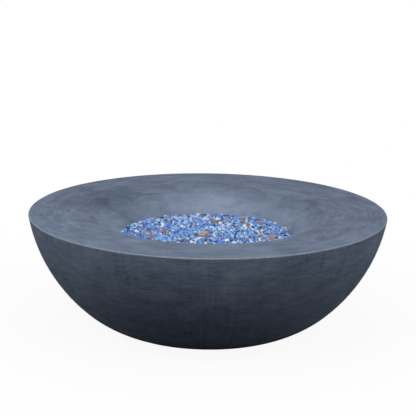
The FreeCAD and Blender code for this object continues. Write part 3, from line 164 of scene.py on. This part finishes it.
# Bowl. One casting of slate-grey concrete: the wall, the deck and the crater were smoothed by a turning
# template, which left faint rings on the deck and a linen-like weave of fine marks on the wall.
STONE_LIGHT = (0.292, 0.357, 0.470, 1.0)
STONE_DARK = (0.050, 0.074, 0.124, 1.0)
STONE_SHARE = 0.77
DECK_TONE = 0.49
# Pores: cells per metre, and the share and tone of the painted shade inside each pore.
PORE_CELLS = 95.0
PORE_SHADE_SHARE = 0.6
PORE_SHADE_TONE = (0.05, 0.065, 0.095, 1.0)
# Painted highlight along the rim's arris: its pale tone, the rim circle and the width of the line.
ARRIS_HIGHLIGHT_TONE = (0.30, 0.345, 0.42, 1.0)
RIM_CIRCLE = (0.5322, 0.3468)
ARRIS_HIGHLIGHT_WIDTH = 0.0036
# Painted shade at the foot of the wall: its near-black tone, the height by which it fades out and its
# strength at the floor.
FOOT_SHADE_TONE = (0.018, 0.024, 0.036, 1.0)
FOOT_SHADE_HEIGHT = 0.07
FOOT_SHADE_STRENGTH = 0.90
# Plain tone of the wall, with painted shade that darkens it towards the floor,
# up to a height above which it stays the same.
WALL_TONE_SHADED_BELOW = (0.43, 0.56)
WALL_SHADE_HEIGHT = 0.12
# The crater's ring of painted sheen, between two radii, and the deck's patches of painted light and shade:
# place, reach and change of tone.
CRATER_SHEEN_RING = (0.27, 0.35, 0.34)
LIGHT_AND_SHADE_PATCHES = ((0.02, 0.265, 0.14, 0.30), (-0.31, 0.16, 0.24, -0.22))
# Marks that run round the bowl: cells round it, cells per metre up the wall or out on the deck, detail,
# roughness and twist of the noise.
WALL_LINES = (13.0, 190.0, 4.0, 0.65, 0.5)
WALL_SMEARS = (5.0, 42.0, 3.0, 0.6, 0.4)
WALL_DROPS = (48.0, 6.0, 3.0, 0.6, 0.2)
DECK_RINGS = (6.0, 110.0, 4.0, 0.65, 0.4)
DECK_SMEARS = (4.0, 26.0, 4.0, 0.6, 0.8)


def mix_tones(tree, share, first, second):
    return add(tree, "Mix", {0: share, 6: first, 7: second}, data_type="RGBA").outputs[2]


def length_of(tree, first, second):
    """Length of the slope between two legs that stand square to each other."""
    squares = [reckon(tree, "MULTIPLY", leg, leg) for leg in (first, second)]
    return reckon(tree, "SQRT", reckon(tree, "ADD", *squares))


def ramp(tree, value, low, high, to_low=0.0, to_high=1.0):
    """Smooth step of a value between two limits."""
    wires = {0: value, 1: low, 2: high, 3: to_low, 4: to_high}
    return add(tree, "MapRange", wires, interpolation_type="SMOOTHSTEP").outputs[0]


def cloud(tree, where, scale, detail=3.0, rough=0.55, twist=0.0):
    """Noise about 0.5, at a scale given in cells per metre."""
    wires = {"Vector": where, "Scale": scale, "Detail": detail, "Roughness": rough, "Distortion": twist}
    return add(tree, "TexNoise", wires).outputs[0]


def stretched(tree, where, scale):
    return add(tree, "VectorMath", {0: where, 1: scale}, operation="MULTIPLY").outputs[0]


def surface(tree, color, roughness, height, depth, **wires):
    """The Principled shader of a material, with its bump and its output."""
    bump = add(tree, "Bump", {"Strength": 1.0, "Distance": depth, "Height": height})
    inputs = {"Base Color": color, "Roughness": roughness, "Normal": bump.outputs[0]}
    inputs.update({key.replace("_", " "): value for key, value in wires.items()})
    shader = add(tree, "BsdfPrincipled", inputs)
    add(tree, "OutputMaterial", {"Surface": shader.outputs[0]})


def dress(material, *names):
    """Gives some CAD nodes their finish."""
    for name in names:
        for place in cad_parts[name].material_slots:
            place.material = material


stone, tree = new_material("cast_concrete")
here = add(tree, "TexCoord").outputs
spot = add(tree, "SeparateXYZ", {0: here["Object"]}).outputs
reach = length_of(tree, spot[0], spot[1])
side_x = reckon(tree, "DIVIDE", spot[0], reach)
side_y = reckon(tree, "DIVIDE", spot[1], reach)
round_wall = add(tree, "CombineXYZ", {0: side_x, 1: side_y, 2: spot[2]}).outputs[0]
round_deck = add(tree, "CombineXYZ", {0: side_x, 1: side_y, 2: reach}).outputs[0]
facing = add(tree, "SeparateXYZ", {0: here["Normal"]}).outputs[2]
on_deck = ramp(tree, facing, 0.25, 0.6)

patches = cloud(tree, here["Object"], 4.2, 4.0, 0.5, 0.6)
clouds = cloud(tree, here["Object"], 15.0, 4.0, 0.6, 0.4)
grain = cloud(tree, here["Object"], 300.0, 2.0, 0.6)
strong = ramp(tree, cloud(tree, here["Object"], 7.0, 2.0), 0.40, 0.62, 0.25, 1.0)


def run_of(tree, where, cells_round, cells_along, *noise_settings):
    """Noise drawn out into marks that run round the bowl or, with more cells round it, across."""
    drawn_out = stretched(tree, where, (cells_round, cells_round, cells_along))
    return cloud(tree, drawn_out, 1.0, *noise_settings)


def marks_of(tree, tone, *weights):
    """Adds each pair of a noise about 0.5 and its weight to a tone."""
    for noise_here, weight in weights:
        swing = reckon(tree, "SUBTRACT", noise_here, 0.5)
        tone = reckon(tree, "MULTIPLY_ADD", swing, weight, tone)
    return tone


def painted_patch(tree, x, y, patch_reach):
    """1 at a point of the plan, and 0 beyond a distance from it."""
    across = add(tree, "CombineXYZ", {0: x, 1: y, 2: spot[2]}).outputs[0]
    away = add(tree, "VectorMath", {0: here["Object"], 1: across}, operation="DISTANCE").outputs[1]
    return ramp(tree, away, 0.02, patch_reach, 1.0, 0.0)


wall_marks = (
    (run_of(tree, round_wall, *WALL_LINES), 1.00),
    (run_of(tree, round_wall, *WALL_SMEARS), 0.65),
    (grain, 0.70),
    (run_of(tree, round_wall, *WALL_DROPS), reckon(tree, "MULTIPLY", strong, 0.70)),
)
deck_marks = (
    (run_of(tree, round_deck, *DECK_RINGS), reckon(tree, "MULTIPLY", strong, 0.80)),
    (run_of(tree, round_deck, *DECK_SMEARS), 0.85),
    (grain, 0.65),
)
# Painted shade: the wall's plain tone is darker towards the floor.
wall_tone_and_shade = ramp(tree, spot[2], 0.0, WALL_SHADE_HEIGHT, *WALL_TONE_SHADED_BELOW)
wall_tone_and_shade = marks_of(tree, wall_tone_and_shade, *wall_marks)
deck_tone_and_light = marks_of(tree, DECK_TONE, *deck_marks)
# Painted sheen: the crater's slopes inside the ring are paler.
deck_tone_and_light = reckon(tree, "ADD", deck_tone_and_light, ramp(tree, reach, *CRATER_SHEEN_RING, 0.0))
# Painted light and shade: a paler patch on the far slope of the crater and a darker one at the left.
for x, y, patch_reach, change in LIGHT_AND_SHADE_PATCHES:
    deck_tone_and_light = reckon(tree, "MULTIPLY_ADD", painted_patch(tree, x, y, patch_reach), change, deck_tone_and_light)
marks = add(tree, "Mix", {0: on_deck, 2: wall_tone_and_shade, 3: deck_tone_and_light}).outputs[0]
tone = marks_of(tree, marks, (patches, 0.50), (clouds, 0.45))
between = reckon(tree, "MULTIPLY", tone, STONE_SHARE, clamp=True)
colour = mix_tones(tree, between, STONE_DARK, STONE_LIGHT)

cells = add(tree, "TexVoronoi", {"Vector": here["Object"], "Scale": PORE_CELLS, "Randomness": 1.0})
pick = add(tree, "SeparateXYZ", {0: cells.outputs["Color"]}).outputs[0]
pore = reckon(tree, "MULTIPLY", ramp(tree, cells.outputs["Distance"], 0.10, 0.20, 1.0, 0.0),
              ramp(tree, pick, 0.90, 0.93))
# Painted shade: each pore is darkened.
colour = mix_tones(tree, reckon(tree, "MULTIPLY", pore, PORE_SHADE_SHARE), colour, PORE_SHADE_TONE)

# Painted highlight: a pale line along the rim's arris, broken into flecks.
from_rim = reckon(tree, "SUBTRACT", reach, RIM_CIRCLE[0])
from_top = reckon(tree, "SUBTRACT", spot[2], RIM_CIRCLE[1])
rim_gap = length_of(tree, from_rim, from_top)
flecks = cloud(tree, here["Object"], 130.0, 3.0, 0.7)
arris_highlight = reckon(tree, "MULTIPLY", ramp(tree, rim_gap, ARRIS_HIGHLIGHT_WIDTH * 0.45, ARRIS_HIGHLIGHT_WIDTH, 1.0, 0.0),
                ramp(tree, flecks, 0.38, 0.62, 0.55, 1.0))
colour = mix_tones(tree, arris_highlight, colour, ARRIS_HIGHLIGHT_TONE)
# Painted shade: the wall turns near-black towards the floor.
foot_shade = ramp(tree, spot[2], 0.0, FOOT_SHADE_HEIGHT, FOOT_SHADE_STRENGTH, 0.0)
colour = mix_tones(tree, foot_shade, colour, FOOT_SHADE_TONE)

relief = reckon(tree, "MULTIPLY_ADD", grain, 0.12, reckon(tree, "MULTIPLY", marks, 0.25))
relief = reckon(tree, "SUBTRACT", relief, pore)
dullness = reckon(tree, "MULTIPLY_ADD", tone, -0.12, 0.86)
surface(tree, colour, dullness, relief, depth=0.0007, Specular_IOR_Level=0.10)
dress(stone, "bowl_shell")


# Fire glass. Tempered glass broken into blunt pieces of about 10 mm: mostly cobalt blue, with navy, pale
# blue and clear ones and a few that are coated in copper. It is poured loose over the burner.
# Two layers, each with its number of pieces and how high they lie. The heap reaches a tip at the left.
GLASS_LAYERS = ((3060, -0.0015), (1130, 0.0025))
GLASS_REACH = 0.262
GLASS_EDGE = (0.247, 0.018, -0.012)
TIP_TURN = 0.36
TIP_SHARPNESS = 10
LOWEST_PLACE = 0.27
# At the back the pieces lie deeper: from this far back, over this run, by this much.
BACK_SINK = (0.14, 0.06, 0.003)
GLASS_SIZE = (0.0090, 0.0150)
SMALLER_BEYOND = 0.235
SMALLER_SHARE = 0.8
BLOCK_SHAPES = 14
SPLINTER_SHAPES = 12
SPLINTER_CORNERS = 11
# How far a piece strays from its even place, height, direction, level and tone.
PLACE_SPREAD = 0.002
RISE_SPREAD = (-0.001, 0.003)
TURN_SPREAD = 0.3
TILT_LIMIT = 0.9
WHOLE_TURN = 6.3
TONE_SPREAD = 0.40
# Each kind of glass: its share of the pieces, its deep and its bright tone, and how much light passes it.
GLASS_KINDS = (
    ("cobalt", 0.45, (0.050, 0.18, 0.66), (0.17, 0.43, 0.96), 0.22),
    ("sky", 0.36, (0.22, 0.48, 0.92), (0.52, 0.79, 1.0), 0.22),
    ("navy", 0.105, (0.010, 0.028, 0.15), (0.04, 0.11, 0.40), 0.10),
    ("clear", 0.05, (0.70, 0.88, 1.0), (0.96, 1.0, 1.0), 0.30),
    ("white", 0.026, (0.90, 0.95, 1.0), (1.0, 1.0, 1.0), 0.0),
    ("copper", 0.018, (0.27, 0.13, 0.115), (0.46, 0.28, 0.25), 0.0),
)
# Large white pieces: place and size. They lie higher by a share of their size and by a fixed rise.
WHITE_LIFT = (0.38, 0.004)
WHITE_PIECES = (
    (-0.030, 0.190, 0.018), (-0.024, -0.125, 0.020), (0.057, -0.134, 0.018), (-0.211, -0.026, 0.014),
    (-0.136, 0.057, 0.014), (0.038, 0.069, 0.014), (0.132, 0.068, 0.014), (0.046, -0.034, 0.012),
)
# Glass below the loose pieces: the painted shade between its cells, its bright tone and a pale tone for some
# cells.
BED_GAP_SHADE = (0.02, 0.05, 0.24, 1.0)
BED_BRIGHT = (0.08, 0.19, 0.60, 1.0)
BED_PALE = (0.25, 0.47, 0.88, 1.0)
ABOVE_BOWL = 0.5
dice = random.Random(4)


def bed_point(x, y):
    """The highest point of the bed or of the crater's slope under a point of the plan, if there is one."""
    found = []
    for name in ("fire_glass_bed", "bowl_shell"):
        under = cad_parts[name]
        hit, place, *_ = under.ray_cast(Vector((x, y, ABOVE_BOWL)), Vector((0.0, 0.0, -1.0)))
        if hit:
            found.append(place)
    return max(found, key=lambda place: place.z, default=None)


def edge_of_heap(turn):
    """How far the loose pieces lie from the middle: further at the left, less at the back."""
    middle, left, back = GLASS_EDGE
    tip = max(0.0, -math.cos(turn - TIP_TURN)) ** TIP_SHARPNESS
    return middle + left * tip + back * max(0.0, math.sin(turn)) ** 2


def hull(points):
    """Corners and flat faces of the tightest solid round some points."""
    made = bmesh.new()
    for point in points:
        made.verts.new(point)
    bmesh.ops.convex_hull(made, input=made.verts)
    bmesh.ops.delete(made, geom=[v for v in made.verts if not v.link_faces], context="VERTS")
    bmesh.ops.dissolve_limit(made, angle_limit=0.12, verts=made.verts, edges=made.edges)
    made.verts.index_update()
    found = [v.co.copy() for v in made.verts], [[v.index for v in face.verts] for face in made.faces]
    made.free()
    return found


def broken_block():
    """A blunt block whose corners have all moved, one unit across."""
    high = dice.uniform(0.55, 0.8)
    deep = dice.uniform(0.65, 0.95)
    halves = (-0.5, 0.5)
    return hull([
        (x * dice.uniform(0.6, 1.0), y * deep * dice.uniform(0.6, 1.0), z * high * dice.uniform(0.7, 1.0))
        for x in halves for y in halves for z in halves
    ])


def broken_splinter():
    """An uneven many-sided piece, one unit across."""
    wide, deep, high = 0.5, 0.42, 0.33
    points = []
    for _ in range(SPLINTER_CORNERS):
        way = Vector((dice.gauss(0, 1), dice.gauss(0, 1), dice.gauss(0, 1))).normalized()
        points.append((way.x * wide, way.y * deep, way.z * high))
    return hull(points)


def lay(pieces, points, faces, tones_here):
    """Adds the corners, faces and tones of one loose piece to those of its kind."""
    held, sides, tones = pieces
    first = len(held)
    held.extend(points)
    sides.extend([first + corner for corner in face] for face in faces)
    tones.extend(tones_here)


def piece_of(name, pieces, material, body, stands_for):
    """One object of many loose pieces, with a tone for each face."""
    points, faces, tones = pieces
    mesh = bpy.data.meshes.new(name)
    mesh.from_pydata(points, [], faces)
    mesh.attributes.new("tone", "FLOAT", "FACE").data.foreach_set("value", tones)
    mesh.materials.append(material)
    made = bpy.data.objects.new(name, mesh)
    bpy.context.scene.collection.objects.link(made)
    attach(made, body)
    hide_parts(stands_for)


def finish_group(name, inputs):
    """An empty group for a finish, with its inputs, that puts out colour, roughness and height."""
    made = bpy.data.node_groups.new(name, "ShaderNodeTree")
    for label, kind, value in inputs:
        socket = made.interface.new_socket(label, in_out="INPUT", socket_type="NodeSocket" + kind)
        socket.default_value = value
    for label, kind in (("Color", "Color"), ("Roughness", "Float"), ("Height", "Float")):
        made.interface.new_socket(label, in_out="OUTPUT", socket_type="NodeSocket" + kind)
    return made, made.nodes.new("NodeGroupInput").outputs, made.nodes.new("NodeGroupOutput").inputs


def finished(name, group, values, depth, **wires):
    """A material that takes its colour, roughness and bump from a finish group with values of its own."""
    made, tree = new_material(name)
    out = add(tree, "Group", values, node_tree=group).outputs
    surface(tree, out["Color"], out["Roughness"], out["Height"], depth, **wires)
    return made


glass_tone, given, taken = finish_group("glass_tone", [
    ("Deep", "Color", (0.05, 0.18, 0.66, 1.0)), ("Bright", "Color", (0.17, 0.43, 0.96, 1.0))])
here = add(glass_tone, "TexCoord").outputs["Object"]
own = add(glass_tone, "Attribute", attribute_name="tone").outputs["Fac"]
inner = cloud(glass_tone, here, 260.0, 3.0, 0.6)
share = reckon(glass_tone, "MULTIPLY_ADD", inner, 0.5, reckon(glass_tone, "MULTIPLY", own, 0.75))
share = ramp(glass_tone, share, 0.15, 0.95)
glass_tone.links.new(mix_tones(glass_tone, share, given["Deep"], given["Bright"]), taken["Color"])
worn = ramp(glass_tone, cloud(glass_tone, here, 700.0, 2.0), 0.35, 0.75, 0.03, 0.22)
glass_tone.links.new(worn, taken["Roughness"])
glass_tone.links.new(cloud(glass_tone, here, 480.0, 3.0, 0.6), taken["Height"])

templates = [broken_block() for _ in range(BLOCK_SHAPES)]
templates += [broken_splinter() for _ in range(SPLINTER_SHAPES)]
heap = {kind[0]: ([], [], []) for kind in GLASS_KINDS}
sink_from, sink_run, sink_depth = BACK_SINK
golden = 3.0 - math.sqrt(5.0)
for count, lift in GLASS_LAYERS:
    for i in range(count):
        along = GLASS_REACH * math.sqrt((i + 0.5) / count)
        turn = i * math.pi * golden + dice.uniform(-TURN_SPREAD, TURN_SPREAD) / max(1.0, math.sqrt(i))
        x = along * math.cos(turn) + dice.uniform(-PLACE_SPREAD, PLACE_SPREAD)
        y = along * math.sin(turn) + dice.uniform(-PLACE_SPREAD, PLACE_SPREAD)
        size = dice.uniform(*GLASS_SIZE) * (SMALLER_SHARE if along > SMALLER_BEYOND else 1.0)
        kind = dice.choices([row[0] for row in GLASS_KINDS], [row[1] for row in GLASS_KINDS])[0]
        points, faces = dice.choice(templates)
        tilts = [dice.uniform(-TILT_LIMIT, TILT_LIMIT) for _ in range(2)]
        turned = Euler((*tilts, dice.uniform(0, WHOLE_TURN))).to_matrix()
        tone_here = dice.random()
        sunk = sink_depth * min(1.0, max(0.0, y - sink_from) / sink_run)
        rise = lift + dice.uniform(*RISE_SPREAD) - sunk
        place = bed_point(x, y)
        if place is None or place.z < LOWEST_PLACE or along > edge_of_heap(turn):
            continue
        middle = place + Vector((0.0, 0.0, rise))
        swings = [tone_here + dice.uniform(-TONE_SPREAD, TONE_SPREAD) for _ in faces]
        lay(heap[kind], [middle + turned @ (point * size) for point in points], faces,
            [min(1.0, max(0.0, tone)) for tone in swings])

for x, y, size in WHITE_PIECES:
    points, faces = broken_splinter()
    middle = bed_point(x, y) + Vector((0.0, 0.0, WHITE_LIFT[0] * size + WHITE_LIFT[1]))
    lay(heap["white"], [middle + point * size for point in points], faces,
        [dice.uniform(0.5, 1.0) for _ in faces])

for name, _, deep, bright, through in GLASS_KINDS:
    values = {"Deep": (*deep, 1.0), "Bright": (*bright, 1.0)}
    shine = {"Transmission_Weight": through, "IOR": 1.5, "Metallic": 0.0}
    glass = finished("fire_glass_" + name, glass_tone, values, depth=0.0004, **shine)
    piece_of("fire_glass_" + name, heap[name], glass, "bowl", "glass_chips")

bed_glass, tree = new_material("fire_glass_below")
here = add(tree, "TexCoord").outputs["Object"]
cells = add(tree, "TexVoronoi", {"Vector": here, "Scale": 120.0}, feature="F1").outputs
# Painted shade: each cell darkens towards its edges, where the pieces meet.
shade = mix_tones(tree, cells["Distance"], BED_BRIGHT, BED_GAP_SHADE)
pick = add(tree, "SeparateXYZ", {0: cells["Color"]}).outputs[0]
shade = mix_tones(tree, ramp(tree, pick, 0.6, 0.9), shade, BED_PALE)
surface(tree, shade, ramp(tree, pick, 0.0, 1.0, 0.12, 0.35), cells["Distance"], depth=0.004)
dress(bed_glass, "fire_glass_bed")


# Lava rocks. Porous red-brown and tan lumps of 15 to 40 mm that lie in the glass where the photograph
# shows them, and the layer of the same rock at the bottom of the pan.
LAVA_RED = (0.31, 0.15, 0.14, 1.0)
LAVA_TAN = (0.50, 0.42, 0.40, 1.0)
LAVA_PORE = (0.16, 0.09, 0.08, 1.0)
LAVA_ASH = (0.60, 0.50, 0.46, 1.0)
# Swells of a lump, each with its cells per radius and its strength, and the pits that are cut into it.
SWELLS = ((2.1, 0.42), (5.5, 0.24))
PIT_CELLS = 11.0
PIT_FROM = 0.18
PIT_DEPTH = 0.35
ROCK_LIFT = 0.18
# Each lump: its place, its size and how tan it is.
ROCKS = (
    (-0.008, -0.066, 0.033, 0.95), (0.192, -0.065, 0.028, 0.55), (-0.190, -0.031, 0.020, 0.80),
    (-0.164, -0.078, 0.023, 0.25), (-0.127, -0.023, 0.022, 0.30), (-0.155, 0.021, 0.018, 0.25),
    (-0.041, 0.062, 0.018, 0.30), (0.011, 0.150, 0.018, 0.35), (0.057, 0.132, 0.021, 0.85),
    (0.109, 0.146, 0.022, 0.35), (0.119, 0.077, 0.022, 0.35), (0.161, 0.095, 0.021, 0.30),
    (0.093, 0.056, 0.016, 0.25), (0.165, 0.018, 0.018, 0.75), (0.155, -0.061, 0.020, 0.45),
    (-0.221, -0.080, 0.016, 0.15),
)


def lava_lump(size, rng):
    """A lump with broken facets and open pores."""
    made = bmesh.new()
    bmesh.ops.create_icosphere(made, subdivisions=4, radius=0.5)
    shift = Vector([rng.uniform(-40, 40) for _ in range(3)])
    stretch = Vector((1.0, rng.uniform(0.75, 0.95), rng.uniform(0.82, 1.02)))
    for v in made.verts:
        swell = 1.0
        for cells_here, strength in SWELLS:
            swell += strength * noise.noise(v.co * cells_here + shift)
        pit = max(0.0, noise.noise(v.co * PIT_CELLS + shift) - PIT_FROM)
        v.co = v.co * (swell - PIT_DEPTH * pit) * size
        v.co = Vector((v.co.x * stretch.x, v.co.y * stretch.y, v.co.z * stretch.z))
    made.verts.index_update()
    spin = Matrix.Rotation(rng.uniform(0, WHOLE_TURN), 3, "Z")
    found = [spin @ v.co for v in made.verts], [[v.index for v in face.verts] for face in made.faces]
    made.free()
    return found


lava, tree = new_material("lava_rock")
here = add(tree, "TexCoord").outputs["Object"]
own = add(tree, "Attribute", attribute_name="tone").outputs["Fac"]
base = mix_tones(tree, own, LAVA_RED, LAVA_TAN)
speck = cloud(tree, here, 330.0, 4.0, 0.7)
base = mix_tones(tree, ramp(tree, speck, 0.50, 0.68), base, LAVA_PORE)
base = mix_tones(tree, ramp(tree, cloud(tree, here, 120.0, 3.0), 0.50, 0.66), base, LAVA_ASH)
surface(tree, base, ramp(tree, speck, 0.2, 0.8, 0.75, 0.98), speck, depth=0.0016)
dress(lava, "lava_rock_base")

rock_dice = random.Random(9)
lumps = ([], [], [])
for x, y, size, tone_here in ROCKS:
    points, faces = lava_lump(size, rock_dice)
    middle = bed_point(x, y) + Vector((0.0, 0.0, size * ROCK_LIFT))
    lay(lumps, [middle + point for point in points], faces, [tone_here] * len(faces))
piece_of("lava_lumps", lumps, lava, "bowl", "lava_rocks")


# Steel parts of the burner and of the base. Pan, ring, hood and base plate are pressed and welded
# stainless sheet and tube, with the brush lines of the sheet and a brown bloom from the heat.
brushed, given, taken = finish_group("brushed_metal", [
    ("Metal", "Color", (0.6, 0.6, 0.6, 1.0)), ("Bloom", "Color", (0.5, 0.4, 0.3, 1.0)),
    ("Bloom Amount", "Float", 0.3), ("Across", "Vector", (900.0, 40.0, 900.0)), ("Dullness", "Float", 0.3)])
here = add(brushed, "TexCoord").outputs["Object"]
lines = cloud(brushed, stretched(brushed, here, given["Across"]), 1.0, 2.0, 0.6)
smudge = cloud(brushed, here, 22.0, 4.0, 0.6, 0.5)
shade = mix_tones(brushed, ramp(brushed, lines, 0.25, 0.75, 0.0, 0.25), given["Metal"], (0.2, 0.2, 0.2, 1.0))
bloom = reckon(brushed, "MULTIPLY", ramp(brushed, smudge, 0.45, 0.70), given["Bloom Amount"])
brushed.links.new(mix_tones(brushed, bloom, shade, given["Bloom"]), taken["Color"])
dull = reckon(brushed, "MULTIPLY_ADD", smudge, 0.22, given["Dullness"])
brushed.links.new(reckon(brushed, "MULTIPLY_ADD", lines, 0.10, dull), taken["Roughness"])
brushed.links.new(lines, taken["Height"])


def metal(name, color, bloom, amount, across, dullness, *nodes, depth=0.00006):
    """Brushed or cast metal: its colour, its bloom and how much of it, cells per metre of its lines along
    each axis, how dull it is, and how deep the lines are."""
    values = {"Metal": (*color, 1.0), "Bloom": (*bloom, 1.0), "Bloom Amount": amount,
              "Across": across, "Dullness": dullness}
    made = finished(name, brushed, values, depth, Metallic=1.0)
    dress(made, *nodes)
    return made


metal("heated_steel", (0.46, 0.44, 0.42), (0.28, 0.18, 0.16), 0.8, (60.0, 500.0, 500.0), 0.34,
      "burner_ring", "burner_nipple", "hood_screws", "flame_sensor")
metal("scorched_steel", (0.13, 0.115, 0.105), (0.22, 0.13, 0.10), 0.6, (60.0, 300.0, 300.0), 0.55,
      "igniter_hood")
metal("pressed_steel", (0.56, 0.56, 0.55), (0.40, 0.36, 0.30), 0.4, (40.0, 700.0, 700.0), 0.28,
      "burner_pan", "base_plate")
metal("screw_steel", (0.60, 0.60, 0.60), (0.38, 0.36, 0.33), 0.3, (900.0, 900.0, 900.0), 0.22,
      "base_plate_screws", "panel_screws", "valve_screws", "contact_spring", "valve_stem", "air_shutter")


# Brass and aluminium fittings of the gas line. They are turned from bar and die cast, so they carry fine
# turning lines, a brown tarnish in patches and a dull cast skin.
metal("turned_brass", (0.70, 0.50, 0.22), (0.30, 0.17, 0.07), 0.6, (700.0, 60.0, 700.0), 0.24,
      "base_inserts", "panel_inserts", "burner_locknuts", "gas_elbow", "air_mixer", "gas_orifice",
      "line_nuts", "inlet_fitting", "inlet_nut", "valve_plug")
metal("drawn_aluminium", (0.66, 0.66, 0.67), (0.46, 0.46, 0.47), 0.4, (500.0, 70.0, 500.0), 0.30,
      "inlet_tube")
metal("cast_aluminium", (0.60, 0.60, 0.61), (0.42, 0.42, 0.43), 0.5, (420.0, 420.0, 420.0), 0.42,
      "valve_body", "valve_bonnet", depth=0.00015)
metal("tinned_copper", (0.70, 0.36, 0.20), (0.35, 0.16, 0.09), 0.5, (300.0, 300.0, 300.0), 0.26,
      "sensor_lead")


# Flexible hose. A corrugated tube in a braid of stainless wire, whose strands cross at a steady slope. It
# runs from the valve to the air mixer and is held by a nut at each end.
STRANDS = 160.0
WIRE_SHADE = (0.16, 0.16, 0.17, 1.0)
WIRE_SHINE = (0.62, 0.62, 0.63, 1.0)
braid, tree = new_material("braided_steel")
here = add(tree, "TexCoord").outputs["Object"]
ways = []
for way in ((1.0, 1.0, 1.0), (-1.0, 1.0, -1.0)):
    bands = {"Vector": stretched(tree, here, way), "Scale": STRANDS}
    ways.append(add(tree, "TexWave", bands, wave_type="BANDS", bands_direction="DIAGONAL").outputs["Fac"])
strand = reckon(tree, "MAXIMUM", *ways)
shade = mix_tones(tree, strand, WIRE_SHADE, WIRE_SHINE)
surface(tree, shade, ramp(tree, strand, 0.0, 1.0, 0.55, 0.26), strand, depth=0.0004, Metallic=1.0)
dress(braid, "burner_hose")


# Coil springs of the stem and of the igniter's button, of cold-wound stainless wire. Each is copied at its
# CAD shape, takes the wire finish and goes with its body.
# Each coil: its node, its body, the joint that presses it, its fixed seat and the length it keeps.
COILS = (
    ("stem_spring", "plug", "knob_push", (-0.030, 0.45323, 0.21821), 0.81),
    ("button_spring", "bowl", "igniter_push", (0.036, 0.47124, 0.20863), 0.78),
)
wire_steel = metal("spring_wire", (0.58, 0.58, 0.59), (0.36, 0.35, 0.34), 0.3, (700.0, 700.0, 700.0), 0.24)
for name, body, joint, seat, kept_length in COILS:
    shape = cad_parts[name].data.copy()
    shape.materials.clear()
    shape.materials.append(wire_steel)
    coil = bpy.data.objects.new(name + "_coil", shape)
    coil.matrix_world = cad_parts[name].matrix_world
    bpy.context.scene.collection.objects.link(coil)
    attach(coil, body)
    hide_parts(name)
    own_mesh(coil)


# Control panel. A stainless plate in the pocket at the back, brushed level, that carries the knob and the
# push igniter.
metal("panel_steel", (0.50, 0.50, 0.49), (0.38, 0.37, 0.34), 0.35, (30.0, 1100.0, 1100.0), 0.24,
      "control_panel")


# Knob, dial, igniter and feet. Moulded black plastic with a fine spark texture, softer rubber under the
# bowl, and dust that has settled in the texture. The lead's sleeve, the battery and the electrode's
# ceramic take the same skin in their own colours.
moulded, given, taken = finish_group("moulded_skin", [
    ("Tone", "Color", (0.02, 0.02, 0.022, 1.0)), ("Dust", "Color", (0.12, 0.12, 0.12, 1.0)),
    ("Dust Amount", "Float", 0.2), ("Dullness", "Float", 0.4)])
here = add(moulded, "TexCoord").outputs["Object"]
pimple = cloud(moulded, here, 1500.0, 2.0, 0.5)
film = ramp(moulded, cloud(moulded, here, 60.0, 4.0, 0.6), 0.45, 0.75)
share = reckon(moulded, "MULTIPLY", film, given["Dust Amount"])
moulded.links.new(mix_tones(moulded, share, given["Tone"], given["Dust"]), taken["Color"])
dull = reckon(moulded, "MULTIPLY_ADD", film, 0.15, given["Dullness"])
moulded.links.new(reckon(moulded, "MULTIPLY_ADD", pimple, 0.12, dull), taken["Roughness"])
moulded.links.new(pimple, taken["Height"])


def plastic(name, color, dust, dullness, depth, *nodes, **wires):
    """Moulded or fired piece: its colour, its dust, how dull it is and how deep its texture is."""
    values = {"Tone": (*color, 1.0), "Dust Amount": dust, "Dullness": dullness}
    dress(finished(name, moulded, values, depth, **wires), *nodes)


plastic("black_plastic", (0.018, 0.018, 0.020), 0.15, 0.36, 0.00005,
        "control_knob", "knob_dial", "igniter_housing", "igniter_nut", "igniter_cap", "igniter_button")
plastic("foot_rubber", (0.022, 0.022, 0.023), 0.45, 0.66, 0.00012, "base_feet")
plastic("lead_sleeve", (0.30, 0.045, 0.030), 0.20, 0.50, 0.00006, "spark_lead")
plastic("battery_sleeve", (0.10, 0.10, 0.11), 0.10, 0.22, 0.00003, "igniter_battery")
plastic("white_ceramic", (0.80, 0.79, 0.75), 0.12, 0.14, 0.00004, "spark_electrode", Coat_Weight=0.5)
